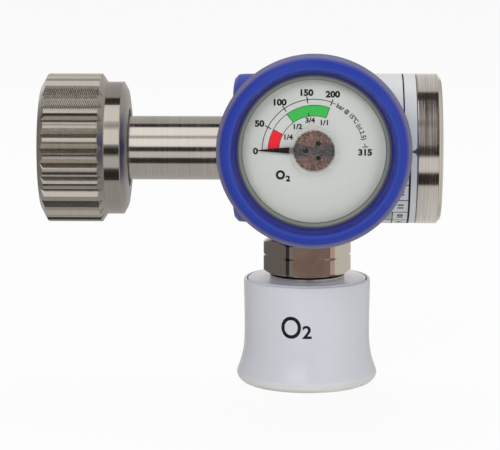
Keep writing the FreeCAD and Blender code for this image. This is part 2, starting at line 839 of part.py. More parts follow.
def outlet_fitting():
    top = hex_bottom + hex_height
    lean = math.tan(math.radians(30))
    drop = (hex_turned_radius - hex_chamfer_radius) * lean
    groove = hex_bottom + hex_groove_height
    half = hex_groove_width / 2
    blank = turned_z([
        (hex_bottom, 0), (hex_bottom, hex_chamfer_radius), (hex_bottom + drop, hex_turned_radius),
        (groove - half, hex_turned_radius), (groove, hex_groove_radius), (groove + half, hex_turned_radius),
        (top - drop, hex_turned_radius), (top, hex_chamfer_radius), (top, 0)])
    corner = hex_across / math.sqrt(3)
    wire = Part.makePolygon([Vector(*polar(corner, hex_turn_deg + 60 * k), hex_bottom) for k in range(7)])
    prism = Part.Face(wire).extrude(Vector(0, 0, hex_height))
    seal_z = outlet_face + outlet_thread_length - 2.8
    upper = turned_z([
        (top, 0), (top, neck_radius), (outlet_face, neck_radius), (outlet_face, outlet_thread_radius),
        (seal_z, outlet_thread_radius), (seal_z, outlet_thread_radius - 2 * seal_section),
        (seal_z + 1.8, outlet_thread_radius - 2 * seal_section), (seal_z + 1.8, outlet_thread_radius),
        (outlet_face + outlet_thread_length, outlet_thread_radius), (outlet_face + outlet_thread_length, 0)])
    lower = turned_z([
        (lower_thread_end, 0), (lower_thread_end, lower_thread_radius),
        (hex_bottom, lower_thread_radius), (hex_bottom, 0)])
    pocket = turned_z([
        (lower_thread_end - 1, 0), (lower_thread_end - 1, valve_chamber_radius - 0.1),
        (valve_spring_seat, valve_chamber_radius - 0.1), (valve_spring_seat, outlet_bore),
        (outlet_face + outlet_thread_length + 1, outlet_bore), (outlet_face + outlet_thread_length + 1, 0)])
    return blank.common(prism).fuse([upper, lower]).cut(pocket)


def outlet_seal():
    place = Vector(0, 0, outlet_face + outlet_thread_length - 1.9)
    return ring(place, Vector(0, 0, 1), outlet_thread_radius - seal_section + 0.01, seal_section)


def outlet_washer():
    return tube_z(washer_bottom, hex_bottom, lower_thread_radius + slip, washer_radius)


def coupler_top_disc():
    return turned_z([
        (disc_bottom, lower_thread_radius + slip), (disc_bottom, top_disc_radius),
        (washer_bottom - 0.4, top_disc_radius), (washer_bottom, top_disc_radius - 0.4),
        (washer_bottom, lower_thread_radius + slip)])


def coupler_body():
    ring_root = barrel_radius - 0.65
    seal_half = seal_section + 0.1
    body = turned_z([
        (0, probe_radius), (0, barrel_radius),
        (stop_ring_height - 0.05, barrel_radius), (stop_ring_height - 0.05, ring_root),
        (stop_ring_height + ring_thick + 0.05, ring_root), (stop_ring_height + ring_thick + 0.05, barrel_radius),
        (guide_bottom, barrel_radius), (guide_bottom, guide_radius - 0.3), (guide_bottom + 0.3, guide_radius),
        (disc_bottom, guide_radius), (disc_bottom, lower_thread_radius + 0.05),
        (valve_chamber_top, lower_thread_radius + 0.05), (valve_chamber_top, valve_chamber_radius),
        (valve_seat_height, valve_chamber_radius), (valve_seat_height, valve_hole_radius),
        (probe_chamber_top, valve_hole_radius), (probe_chamber_top, probe_chamber_radius),
        (probe_seal_height + seal_half, probe_chamber_radius),
        (probe_seal_height + seal_half, probe_radius + 2 * seal_section + slip),
        (probe_seal_height - seal_half, probe_radius + 2 * seal_section + slip),
        (probe_seal_height - seal_half, probe_chamber_radius),
        (mouth_length, probe_chamber_radius), (mouth_length, probe_radius)])
    holes = []
    for index in range(ball_count):
        x, y = polar(1.0, 90 + 360.0 / ball_count * index)
        place = Vector(0, 0, ball_height)
        holes.append(rod(place, place + Vector(x, y, 0) * 2 * barrel_radius, ball_radius + 0.06))
    return body.cut(holes)


def locking_ball(index):
    x, y = polar(ball_center, 90 + 360.0 / ball_count * index)
    return Part.makeSphere(ball_radius, Vector(x, y, ball_height))


def sleeve_stop_ring():
    place = Vector(0, 0, stop_ring_height)
    return snap_ring(place, Vector(0, 0, 1), barrel_radius - 0.6, stop_ring_radius, ring_thick, 3.0)


def coupler_sleeve():
    rim = 0.9
    side = [(sleeve_rim_radius, sleeve_height - rim),
            ((sleeve_rim_radius + sleeve_waist_radius) / 2, sleeve_height * 0.80),
            (sleeve_waist_radius, sleeve_height * 0.56),
            (sleeve_waist_radius + 0.07 * (sleeve_flare_radius - sleeve_waist_radius), sleeve_height * 0.37),
            (sleeve_waist_radius + 0.33 * (sleeve_flare_radius - sleeve_waist_radius), sleeve_height * 0.25),
            (sleeve_flare_radius - 0.7, sleeve_flare_height + 2.1),
            (sleeve_flare_radius, sleeve_flare_height)]
    curve = Part.BSplineCurve()
    curve.interpolate([Vector(r, 0, z) for r, z in side])
    land = land_radius + land_slope * (ball_height - sleeve_land_bottom)
    bore = guide_radius + run_fit
    lip = Part.Arc(
        Vector(sleeve_flare_radius, 0, sleeve_flare_height),
        Vector(sleeve_lip_radius + 0.80 * (sleeve_flare_radius - sleeve_lip_radius), 0, sleeve_flare_height * 0.40),
        Vector(sleeve_lip_radius, 0, 0)).toShape()
    round_rim = Part.Arc(
        Vector(sleeve_rim_bore, 0, sleeve_height - 0.25),
        Vector(sleeve_rim_radius - 0.45, 0, sleeve_height),
        Vector(sleeve_rim_radius, 0, sleeve_height - rim)).toShape()
    inside = [
        (sleeve_lip_radius, 0), (sleeve_mouth_radius, 0), (sleeve_mouth_radius, sleeve_land_bottom),
        (land, sleeve_land_bottom), (land_radius, ball_height), (land_radius, sleeve_land_top),
        (bore, sleeve_land_top), (bore, sleeve_shoulder), (sleeve_rim_bore, sleeve_shoulder),
        (sleeve_rim_bore, sleeve_height - 0.25)]
    inner = Part.makePolygon([Vector(r, 0, z) for r, z in inside])
    wire = Part.Wire(Part.__sortEdges__([curve.toShape(), lip, round_rim] + inner.Edges))
    return Part.Face(wire).revolve(Vector(0, 0, 0), Vector(0, 0, 1), 360)


def sleeve_spring():
    place = Vector(0, 0, sleeve_land_top + 0.05)
    length = guide_bottom - sleeve_land_top - 0.1
    return coil(sleeve_spring_mean, sleeve_spring_wire, length, sleeve_spring_turns, place, Vector(0, 0, 1))


def check_valve_poppet():
    low = valve_seat_height + 0.05 + poppet_seal_thick
    body = turned_z([
        (poppet_nose, 0), (poppet_nose, poppet_stem_radius - 0.4), (poppet_nose + 0.4, poppet_stem_radius),
        (low, poppet_stem_radius), (low, valve_chamber_radius - slip), (low + poppet_head, valve_chamber_radius - slip),
        (low + poppet_head, 0)])
    flutes = []
    for index in range(3):
        x, y = polar(valve_chamber_radius + 0.4, 30 + 120 * index)
        flutes.append(Part.makeCylinder(1.4, poppet_head, Vector(x, y, low), Vector(0, 0, 1)))
    return body.cut(flutes)


def check_valve_seal():
    low = valve_seat_height + 0.05
    return tube_z(low, low + poppet_seal_thick, poppet_stem_radius + 0.02, valve_hole_radius + 0.6)


def check_valve_spring():
    low = valve_seat_height + 0.05 + poppet_seal_thick + poppet_head + 0.05
    length = valve_spring_seat - low - 0.05
    return coil(valve_spring_mean, valve_spring_wire, length, valve_spring_turns, Vector(0, 0, low), Vector(0, 0, 1))


def probe_seal():
    place = Vector(0, 0, probe_seal_height)
    return ring(place, Vector(0, 0, 1), probe_radius + seal_section + 0.06, seal_section)


os.makedirs("parts", exist_ok=True)

for build in (
        inlet_hand_nut, inlet_nipple, nut_retaining_ring, inlet_seal_ring, inlet_filter, filter_clip,
        regulator_body, body_cover, rating_label, end_cap, end_cap_seal, piston, piston_seal,
        piston_stem_seal, main_spring, seat_holder, valve_seat, gauge_guard, gauge_case, gauge_bezel,
        gauge_lens, lens_hub_disc, dial_spacer, gauge_dial, gauge_pointer, pointer_arbor, sector_gear,
        movement_frame, movement_link, bourdon_tube, gauge_socket, outlet_fitting, outlet_seal,
        outlet_washer, coupler_top_disc, coupler_body, sleeve_stop_ring, coupler_sleeve, sleeve_spring,
        check_valve_poppet, check_valve_seal, check_valve_spring, probe_seal):
    build().exportStep("parts/" + build.__name__ + ".step")

for number in range(ball_count):
    locking_ball(number).exportStep("parts/locking_ball_%d.step" % (number + 1))
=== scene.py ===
import math
import bpy
import bmesh
from mathutils import Matrix, Vector


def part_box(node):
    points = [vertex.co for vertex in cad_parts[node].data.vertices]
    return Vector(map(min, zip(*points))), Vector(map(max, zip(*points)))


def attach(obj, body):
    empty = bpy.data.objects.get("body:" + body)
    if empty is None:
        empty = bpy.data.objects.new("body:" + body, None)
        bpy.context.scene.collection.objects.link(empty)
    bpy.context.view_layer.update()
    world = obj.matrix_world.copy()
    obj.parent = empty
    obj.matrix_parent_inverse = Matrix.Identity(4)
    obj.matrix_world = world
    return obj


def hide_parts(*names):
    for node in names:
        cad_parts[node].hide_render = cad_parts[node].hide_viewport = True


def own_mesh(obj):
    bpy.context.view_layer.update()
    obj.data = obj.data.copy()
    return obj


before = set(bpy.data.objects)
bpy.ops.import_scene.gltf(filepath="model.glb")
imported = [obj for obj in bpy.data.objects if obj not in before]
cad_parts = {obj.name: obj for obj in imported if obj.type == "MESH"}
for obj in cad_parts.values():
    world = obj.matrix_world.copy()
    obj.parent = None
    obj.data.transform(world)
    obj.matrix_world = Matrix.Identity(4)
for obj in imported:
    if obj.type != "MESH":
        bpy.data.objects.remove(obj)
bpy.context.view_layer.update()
scene = bpy.context.scene
mm = 0.001

lay = {"axisHeight": 71.9, "gaugeX": 1.85, "gaugeZ": 76.0, "printDrop": 0.27}  # body axis and gauge axis, mm
bodyAxis = Vector((0, 0, lay["axisHeight"]))
gaugeAxis = Vector((lay["gaugeX"], 0, lay["gaugeZ"]))
upAxis = Vector((0, 0, 0))
axisOf = {"x": bodyAxis, "y": gaugeAxis, "z": upAxis}


def span(node):  # lowest and highest corners of a CAD node in mm
    low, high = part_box(node)
    return Vector(low) * 1000, Vector(high) * 1000


def pick(sizes, names):  # several values of a piece's dictionary
    return [sizes[name] for name in names.split()]


# Node trees

class Val:  # one output of a node, with its maths
    def __init__(self, maker, socket):
        self.maker = maker
        self.socket = socket

    def other(self, key):
        return Val(self.maker, self.socket.node.outputs[key])

    def math(self, kind, other=None, swap=False, clamp=False):
        first, second = (other, self) if swap else (self, other)
        settings = {"operation": kind, "use_clamp": clamp}
        return self.maker.node("ShaderNodeMath", settings, {0: first, 1: second})

    def __add__(self, other): return self.math("ADD", other)
    def __radd__(self, other): return self.math("ADD", other)
    def __sub__(self, other): return self.math("SUBTRACT", other)
    def __rsub__(self, other): return self.math("SUBTRACT", other, swap=True)
    def __mul__(self, other): return self.math("MULTIPLY", other)
    def __rmul__(self, other): return self.math("MULTIPLY", other)
    def __truediv__(self, other): return self.math("DIVIDE", other)
    def above(self, limit): return self.math("GREATER_THAN", limit)
    def below(self, limit): return self.math("LESS_THAN", limit)
    def soft(self): return self.math("ADD", 0.0, clamp=True)
    def root(self): return self.math("POWER", 0.5)
    def absolute(self): return self.math("ABSOLUTE")
    def over(self, limit, slope): return ((self - limit) * slope).soft()
    def under(self, limit, slope): return ((limit - self) * slope).soft()
    def near(self, middle, half, slope): return (self - middle).absolute().under(half, slope)


class Nodes:  # one node tree
    def __init__(self, tree):
        self.tree = tree
        tree.nodes.clear()

    def put(self, socket, item):
        if isinstance(item, Val):
            self.tree.links.new(item.socket, socket)
        elif isinstance(item, (tuple, list)) and socket.type == "RGBA":
            socket.default_value = (*item, 1)
        elif item is not None:
            socket.default_value = item

    def putStops(self, held, stops):
        while len(held) > 1:
            held.remove(held[-1])
        for index, (place, color) in enumerate(stops):
            mark = held.new(place) if index else held[0]
            mark.position = place
            mark.color = (*color, 1)

    def node(self, kind, settings=None, sockets=None, output=0):
        made = self.tree.nodes.new(kind)
        for key, item in (settings or {}).items():
            if key == "stops":
                self.putStops(made.color_ramp.elements, item)
            else:
                setattr(made, key, item)
        for key, item in (sockets or {}).items():
            self.put(made.inputs[key], item)
        return Val(self, made.outputs[output]) if made.outputs else None

    def mix(self, factor, first, second):
        return self.node("ShaderNodeMix", {"data_type": "RGBA"}, {0: factor, 6: first, 7: second}, 2)

    def split(self, vector):
        parts = self.node("ShaderNodeSeparateXYZ", None, {0: vector})
        return [parts.other(k) for k in range(3)]

    def join(self, x, y=0.0, z=0.0):
        return self.node("ShaderNodeCombineXYZ", None, {0: x, 1: y, 2: z})


class Finish(Nodes):  # one procedural material
    def __init__(self, name, **sockets):
        self.material = bpy.data.materials.new(name)
        self.material.use_nodes = True
        super().__init__(self.material.node_tree)
        self.surface = self.node("ShaderNodeBsdfPrincipled")
        self.coords = self.node("ShaderNodeTexCoord", output="Object")
        self.set(**sockets)

    def set(self, **sockets):
        for key, item in sockets.items():
            self.put(self.surface.socket.node.inputs[key.replace("_", " ")], item)

    def done(self, surface=None):
        self.node("ShaderNodeOutputMaterial", None, {"Surface": surface or self.surface})
        return self.material

    def noise(self, scale, detail=3.0, rough=0.55, stretch=None, vector=None):
        if stretch:
            vector = self.node("ShaderNodeMapping", None, {"Vector": self.coords, "Scale": stretch})
        return self.node("ShaderNodeTexNoise", None, {"Vector": vector or self.coords, "Scale": scale,
                                                      "Detail": detail, "Roughness": rough})

    def rings(self, along, slow=34.0, quick=3600.0, detail=3.0):
        # lathe marks: noise that is quick along the axis and slow around it
        stretch = [slow] * 3
        stretch["xyz".index(along)] = quick
        return self.noise(1.0, detail, 0.6, tuple(stretch))

    def vary(self, base, *waves):  # base, with each noise's swing about its middle
        for noise, amount in waves:
            base = (noise - 0.5) * amount + base
        return base.soft()

    def axes(self, center):  # x, y, z in mm from a centre in mm
        moved = self.node("ShaderNodeVectorMath", {"operation": "SUBTRACT"},
                          {0: self.coords, 1: tuple(center * mm)})
        return [part * 1000.0 for part in self.split(moved)]

    def gaugeAxes(self):  # x, y, z from the gauge's centre, and the distance from its axis
        x, y, z = self.axes(gaugeAxis)
        return x, y, z, (x * x + z * z).root()

    def bump(self, height, strength, distance):
        self.set(Normal=self.node("ShaderNodeBump", None,
                                  {"Height": height, "Strength": strength, "Distance": distance}))


def tone(color, share, lift=0.0):
    return tuple(min(1.0, c * share + lift) for c in color)


def turnedMetal(name, color, along, rough=0.24, grain=0.25, bright=0.12):
    fin = Finish(name, Metallic=1.0)
    rings = fin.rings(along)
    hair = fin.rings(along, 90.0, 9000.0, 2.0)
    cloud = fin.noise(60.0, 3.0, 0.5)
    streak = (rings - 0.5) * 1.6 + (hair - 0.5)
    share = fin.vary(streak + 0.5, (cloud, 0.6))
    fin.set(Base_Color=fin.mix(share, tone(color, 1 - bright), tone(color, 1 + bright)))
    fin.set(Roughness=fin.vary(streak * 0.22 + rough, (cloud, 0.08)))
    fin.bump(rings * 0.6 + hair * 0.4, grain, 0.00004)
    return fin.done()


def speckled(fin, first, second, share, rough, waves, height=None, grain=0.0, depth=0.00005):
    # colour from first to second by share, roughness swinging with the waves, and a fine bump
    fin.set(Base_Color=fin.mix(share, first, second), Roughness=fin.vary(rough, *waves))
    if height:
        fin.bump(height, grain, depth)
    return fin.done()


def plainMetal(name, color, rough=0.3, grain=0.1, scale=900.0):
    fin = Finish(name, Metallic=1.0)
    fleck, cloud = fin.noise(scale), fin.noise(70.0, 2.0)
    return speckled(fin, tone(color, 0.85), color, fleck, rough, [(cloud, 0.15), (fleck, 0.1)], fleck, grain)


def milledNickel(name, color, toothedEnd=-60.5, shoulder=-62.4, domeStart=-56.0):
    # hand nut: slanting cutter marks in the milled part, lathe rings on the collar, a darker, matter dome
    fin = Finish(name, Metallic=1.0)
    x, y, z = fin.axes(bodyAxis)
    angle = z.math("ARCTAN2", y)
    slant = fin.join(x * 2.5 + angle * 48.0, angle * 9.0 - x * 0.3)
    blotch = fin.noise(1.0, 2.0, 0.6, vector=slant)
    wave = (x * 10.1 - angle * 130.0 + blotch * 9.0).math("SINE")
    # cutter marks drawn stronger on the upper front facets
    upperFront = angle.near(2.27, 0.27, 12.0) + angle.near(2.8, 0.09, 12.0) * 0.4
    toothed, rounded = x.below(toothedEnd), x.above(domeStart)
    hatch = (blotch * 0.7 + wave * 0.3 - 0.35) * toothed * (upperFront * 2.4 + 0.45)
    mark = hatch + (fin.rings("x") - 0.5) * (0.5 - toothed * 0.25)
    cloud = fin.noise(80.0)
    yellowed = (color[0], color[1] * 0.96, color[2] * 0.88)
    warm = fin.mix((cloud - 0.2).soft(), tone(color, 0.9), yellowed)
    metal = fin.mix((mark * 1.2 + 0.6).soft(), tone(color, 0.55), warm)
    fin.set(Base_Color=fin.mix(rounded * 0.7, metal, (0.46, 0.435, 0.42)))
    matt = rounded + x.above(shoulder) * toothed
    fin.set(Roughness=fin.vary(toothed * 0.06 + matt * 0.25 + mark * 0.12 + 0.13, (cloud, 0.06)))
    fin.bump(mark + 0.5, 0.3, 0.00006)
    return fin.done()


def hexNickel(name, color):
    # milled hexagon: bright flats, painted shade on the left one, and a painted dark reflection and a painted
    # reddish reflection down the front one
    fin = Finish(name, Metallic=1.0)
    x, y = fin.axes(upAxis)[:2]
    front = y.below(-9.0)
    fleck, cloud = fin.noise(1500.0), fin.noise(70.0, 2.0)
    metal = fin.mix(fleck * 0.6 + cloud * 0.4, tone(color, 0.86), color)
    # painted shade on the left flat
    metal = fin.mix(x.below(-6.0) * y.below(6.0) * 0.9, metal, (0.45, 0.415, 0.38))
    # painted dark reflection down the front flat
    metal = fin.mix(x.near(-5.9, 1 / 1.6, 4.8) * front * 0.88, metal, (0.06, 0.05, 0.05))
    # painted reddish reflection down the front flat
    fin.set(Base_Color=fin.mix(x.near(7.6, 1 / 1.15, 3.45) * front * 0.5, metal, (0.42, 0.16, 0.13)))
    fin.set(Roughness=fin.vary(0.13, (cloud, 0.1), (fleck, 0.06)))
    fin.bump(fleck, 0.06, 0.00005)
    return fin.done()


def washerMetal(name, color, shadowFrom=33.1):
    # turned ring with a dark shadow line under the hexagon
    fin = Finish(name, Metallic=1.0)
    level = fin.axes(upAxis)[2]
    rings = fin.rings("z")
    metal = fin.mix(rings, tone(color, 0.85), color)
    fin.set(Base_Color=fin.mix(level.over(shadowFrom, 8.0) * 0.92, metal, (0.04, 0.03, 0.026)))
    fin.set(Roughness=fin.vary(0.2, (rings, 0.2)))
    fin.bump(rings, 0.15, 0.00004)
    return fin.done()


def sleeveWhite(name, color, lip, paintedLightTop=3.6):
    # white moulding, with painted light from below, pale ivory, round the bottom lip
    fin = Finish(name, Coat_Weight=0.35, Coat_Roughness=0.12)
    level = fin.axes(upAxis)[2]
    skin, cloud = fin.noise(2600.0, 2.0), fin.noise(45.0)
    white = fin.mix(cloud, color, tone(color, 1.03))
    height = skin * 0.5 + cloud * 0.5
    # painted light from below, in ivory, fading out above the bottom lip
    return speckled(fin, white, lip, level.under(paintedLightTop, 0.5), 0.24, [(cloud, 0.1), (skin, 0.05)], height, 0.03,
                    0.00006)


def moulded(name, color, rough, speck=0.03, grain=0.04, coat=0.0):
    fin = Finish(name, Coat_Weight=coat, Coat_Roughness=0.12)
    skin, cloud = fin.noise(2600.0, 2.0), fin.noise(45.0)
    second = tone(color, 1 + speck * 2, speck * 0.02)
    share, height = (cloud * 0.8 + skin * 0.2).soft(), skin * 0.5 + cloud * 0.5
    return speckled(fin, color, second, share, rough, [(cloud, 0.12), (skin, 0.05)], height, grain, 0.00006)


def guardPlastic(name, color):
    # blue guard: satin, with a painted grey sheen on the outer bevel, painted shade on the inner wall inside
    # the crest, a faint lighter ring round the crest, and faint scuffs
    fin = Finish(name, Specular_IOR_Level=0.35)
    x, y, z, radius = fin.gaugeAxes()
    # painted grey sheen on the outer bevel, which is also made a little rougher
    bevelSheen = radius.over(26.75, 1.5) * y.under(-40.8, 0.6)
    angle = z.math("ARCTAN2", x)
    scuff = fin.noise(1.0, 4.0, 0.5, vector=fin.join(radius * 3.0, angle * 5.0, y * 0.4))
    base = fin.mix((scuff * 0.5).soft(), color, (0.025, 0.055, 0.40))
    # painted shade on the inner wall inside the crest
    base = fin.mix(radius.under(24.0, 2.0) * 0.75, base, (0.02, 0.018, 0.22))
    base = fin.mix(radius.near(24.2, 1 / 1.6, 1.6) * 0.32, base, (0.05, 0.12, 0.5))
    fin.set(Base_Color=fin.mix((bevelSheen * (scuff * 0.6 + 0.55)).soft(), base, (0.2, 0.185, 0.27)))
    fin.set(Roughness=fin.vary(bevelSheen * 0.08 + 0.36, (scuff, 0.12)))
    fin.bump(fin.noise(2400.0, 2.0) * 0.4 + scuff * 0.6, 0.08, 0.00006)
    return fin.done()


def bezelPaint(name):
    # grey ring, with painted shade at the window's edge and towards the guard
    fin = Finish(name)
    radius = fin.gaugeAxes()[3]
    # painted shade at the window's edge and towards the guard
    edge = radius.near(20.72, 1 / 6, 6.0) + radius.over(21.55, 4.0)
    fleck = fin.noise(2400.0, 2.0)
    pale, dark = (0.2, 0.215, 0.205), (0.045, 0.05, 0.05)
    return speckled(fin, pale, dark, (edge * 0.85).soft(), 0.36, [(fleck, 0.1)], fleck, 0.04)


def dialPaper(name):
    fin = Finish(name)
    fleck, cloud = fin.noise(3000.0, 2.0), fin.noise(50.0)
    share = (fleck * 0.5 + cloud * 0.5).soft()
    first, second = (0.645, 0.67, 0.63), (0.70, 0.72, 0.68)
    return speckled(fin, first, second, share, 0.55, [(cloud, 0.1)], fleck, 0.03, 0.00003)


def clearLens(name, tint=(0.5, 0.52, 0.52)):
    # clear, with a hazy ring round the boss in the middle
    fin = Finish(name, IOR=1.49, Specular_IOR_Level=0.25)
    cloud = fin.noise(40.0, 2.0)
    radius = fin.gaugeAxes()[3]
    rim = radius.near(7.1, 1 / 8, 8.0)
    haze = radius.under(7.2, 6.0) * radius.over(5.9, 4.0)
    fin.set(Base_Color=fin.mix(haze * (1.0 - rim), tint, (0.72, 0.73, 0.70)))
    seen = cloud * 0.012 + rim * 0.22 + haze * 0.13 + 0.006
    fin.set(Roughness=(cloud * 0.05 + 0.05).soft(), Alpha=seen.soft())
    return fin.done()


def frostedDisc(name):
    # mottled brown disc behind the lens boss, with a dark band across and a ragged see-through edge
    fin = Finish(name)
    x, _, z, radius = fin.gaugeAxes()
    ragged, speck, lump = fin.noise(2600.0, 3.0, 0.7), fin.noise(1800.0, 3.0, 0.8), fin.noise(420.0)
    edge = (radius + (ragged - 0.33) * 3.0).under(6.4, 3.0)
    band = (x.absolute() * 0.22 - z.absolute() + (ragged - 0.5) * 1.4).over(-1.5, 1.2)
    brown = fin.mix((lump * 1.8 - 0.45).soft(), (0.15, 0.07, 0.052), (0.32, 0.15, 0.11))
    pale = fin.mix(0.2, brown, (0.58, 0.43, 0.37))
    flecked = fin.mix(((speck - 0.5) * 7.0 + 0.45).soft(), (0.07, 0.042, 0.036), pale)
    middle = fin.mix(((speck - 0.5) * 5.0 + 0.4).soft(), (0.035, 0.035, 0.038), (0.12, 0.115, 0.115))
    fin.set(Base_Color=fin.mix(band * 0.92, flecked, middle))
    fin.set(Roughness=fin.vary(0.5, (speck, 0.3)), Alpha=(edge * (speck * 0.25 + 0.8)).soft())
    fin.bump(speck, 0.2, 0.00005)
    return fin.done()


def ink(name, color, rough=0.5):
    fin = Finish(name, Specular_IOR_Level=0.15)
    fleck = fin.noise(2500.0, 2.0)
    return speckled(fin, color, tone(color, 1.12, 0.004), fleck, rough, [(fleck, 0.15)])


nickel, brass, blue = (0.74, 0.705, 0.66), (0.72, 0.55, 0.28), (0.018, 0.04, 0.34)
finishes = {
    "nut": milledNickel("nutNickel", nickel),
    "stem": turnedMetal("stemNickel", nickel, "x", 0.13, 0.14),
    "cap": turnedMetal("capNickel", nickel, "x", 0.13, 0.07, 0.3),
    "body": turnedMetal("bodyNickel", (0.22, 0.21, 0.2), "x", 0.35, 0.3),
    "hex": hexNickel("hexNickel", nickel),
    "washer": washerMetal("washerNickel", nickel),
    "neck": turnedMetal("neckNickel", nickel, "z", 0.2, 0.2),
    "coupler": turnedMetal("couplerNickel", nickel, "z", 0.28, 0.25),
    "cover": moulded("coverBlue", blue, 0.4),
    "guard": guardPlastic("guardBlue", blue),
    # the second colour is painted light from below on the bottom lip
    "sleeve": sleeveWhite("sleeveWhite", (0.72, 0.735, 0.785), (0.95, 0.95, 0.9)),
    "disc": moulded("discWhite", (0.9, 0.9, 0.94), 0.25, 0.02, 0.03, 0.3),
    "label": moulded("labelFilm", (0.66, 0.69, 0.70), 0.3, 0.015, 0.03, 0.4),
    "labelGrey": moulded("labelGreyCell", (0.36, 0.39, 0.40), 0.35, 0.02, 0.03, 0.3),
    "bezel": bezelPaint("bezelGrey"),
    "case": plainMetal("caseSteel", (0.45, 0.45, 0.44), 0.35, 0.15),
    "dial": dialPaper("dialFace"),
    "lens": clearLens("lensClear"),
    "frost": frostedDisc("frostedDisc"),
    "holeRim": ink("holeRim", (0.62, 0.62, 0.6), 0.3),
    "pointer": ink("pointerBlack", (0.002, 0.002, 0.002), 0.6),
    "inkBlack": ink("inkBlack", (0.012, 0.012, 0.013)),
    "inkRed": ink("inkRed", (0.9, 0.012, 0.025)),
    "inkGreen": ink("inkGreen", (0.05, 0.5, 0.085)),
    "rubber": moulded("sealRubber", (0.012, 0.012, 0.012), 0.6, 0.2, 0.2),
    "steel": plainMetal("springSteel", (0.5, 0.5, 0.5), 0.28, 0.1),
    "brass": plainMetal("machinedBrass", brass, 0.28, 0.12),
    "bronze": plainMetal("tubeBronze", (0.6, 0.36, 0.2), 0.3, 0.12),
    "sinter": plainMetal("sinteredBronze", (0.55, 0.36, 0.16), 0.6, 0.9, 2200.0),
    "seat": moulded("seatPlastic", (0.75, 0.7, 0.55), 0.4),
}
print("materials made:", len(finishes))


# Mesh helpers, all in mm until the mesh is written

def smooth(mesh, sharp):
    for face in mesh.polygons:
        face.use_smooth = True
    mesh.set_sharp_from_angle(angle=math.radians(sharp))


def addPiece(name, mesh, finish=None, sharp=32.0):
    smooth(mesh, sharp)
    piece = bpy.data.objects.new(name, mesh)
    scene.collection.objects.link(piece)
    if finish:
        mesh.materials.clear()
        mesh.materials.append(finishes[finish])
    return piece


def meshFrom(name, verts, faces, finish=None, sharp=32.0, weld=True):
    mesh = bpy.data.meshes.new(name)
    mesh.from_pydata([tuple(Vector(v) * mm) for v in verts], [], faces)
    form = bmesh.new()
    form.from_mesh(mesh)
    if weld:
        bmesh.ops.remove_doubles(form, verts=form.verts, dist=0.000002)
        bmesh.ops.dissolve_degenerate(form, edges=form.edges, dist=0.0000005)
    bmesh.ops.recalc_face_normals(form, faces=form.faces)
    form.to_mesh(mesh)
    form.free()
    return addPiece(name, mesh, finish, sharp)


def roundCorners(profile, steps=4):
    # profile rows are (along, radius, rounding)
    points = []
    count = len(profile)
    for index, (along, radius, rounding) in enumerate(profile):
        here = Vector((along, radius))
        before = Vector(profile[index - 1][:2]) - here
        after = Vector(profile[(index + 1) % count][:2]) - here
        if rounding <= 0 or before.length < 1e-6 or after.length < 1e-6:
            points.append((along, radius))
            continue
        reach = rounding / max(0.05, math.tan(before.angle(after) / 2))
        reach = min(reach, before.length * 0.45, after.length * 0.45)

        def beside(side, reach=reach, here=here):  # keeps the flat beside the rounding flat in its shading
            return tuple(here + side.normalized() * (reach + min(0.08, side.length * 0.04)))

        start, end = (here + side.normalized() * reach for side in (before, after))
        points.append(beside(before))
        for step in range(steps + 1):
            t = step / steps
            points.append(tuple(start * (1 - t) ** 2 + here * 2 * t * (1 - t) + end * t * t))
        points.append(beside(after))
    return points


def spinPoint(along, radius, angle, axis, center):
    a, b = radius * math.cos(angle), radius * math.sin(angle)
    return center + Vector({"x": (along, a, b), "y": (a, along, b), "z": (a, b, along)}[axis])


def lathe(name, profile, axis, finish, segments=144, sharp=32.0, steps=4, center=None):
    outline = roundCorners(profile, steps)
    count = len(outline)
    spot = axisOf[axis] if center is None else center
    verts, faces = [], []
    for turn in range(segments):
        angle = 2 * math.pi * turn / segments
        verts += [spinPoint(a, r, angle, axis, spot) for a, r in outline]
        one, two = turn * count, ((turn + 1) % segments) * count
        for step in range(count):
            nxt = (step + 1) % count
            if outline[step][1] >= 1e-6 or outline[nxt][1] >= 1e-6:
                faces.append((one + step, one + nxt, two + nxt, two + step))
    return meshFrom(name, verts, faces, finish, sharp)


def rod(name, start, end, radius, axis, finish, segments, center=None):
    profile = [(start, 0, 0), (start, radius, 0), (end, radius, 0), (end, 0, 0)]
    return lathe(name, profile, axis, finish, segments, center=center)


def addBoolean(piece, kind, tool):
    cut = piece.modifiers.new(kind.lower(), "BOOLEAN")
    cut.object = tool
    cut.operation = kind
    cut.solver = "EXACT"


def bake(piece, sharp=32.0):
    name = piece.name
    deps = bpy.context.evaluated_depsgraph_get()
    mesh = bpy.data.meshes.new_from_object(piece.evaluated_get(deps))
    piece.modifiers.clear()
    old = piece.data
    piece.data = mesh
    bpy.data.meshes.remove(old)
    mesh.name = name
    smooth(mesh, sharp)
    return piece


def cutAway(piece, cutters):
    for cutter in cutters:
        addBoolean(piece, "DIFFERENCE", cutter)
    bake(piece)
    for cutter in cutters:
        bpy.data.objects.remove(cutter)


def solidBand(name, inner, outer, finish):
    # strip between two rows of (front, back) point pairs
    verts = [p for pair in zip(inner, outer) for side in pair for p in side]
    faces = []
    end = (len(inner) - 1) * 4
    for a in range(0, end, 4):
        b = a + 4
        faces += [(a, a + 2, b + 2, b), (a + 1, b + 1, b + 3, a + 3),
                  (a, b, b + 1, a + 1), (a + 2, a + 3, b + 3, b + 2)]
    faces += [(0, 1, 3, 2), (end, end + 2, end + 3, end + 1)]
    return meshFrom(name, verts, faces, finish)


def joinPieces(name, items, finish):
    form = bmesh.new()
    for item in items:
        form.from_mesh(item.data)
    mesh = bpy.data.meshes.new(name)
    form.to_mesh(mesh)
    form.free()
    for item in items:
        old = item.data
        bpy.data.objects.remove(item)
        bpy.data.meshes.remove(old)
    return addPiece(name, mesh, finish, 25.0)


def settle(piece, slot, *nodes, body="regulator"):
    if nodes:
        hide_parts(*nodes)
    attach(piece, body)


# Letters

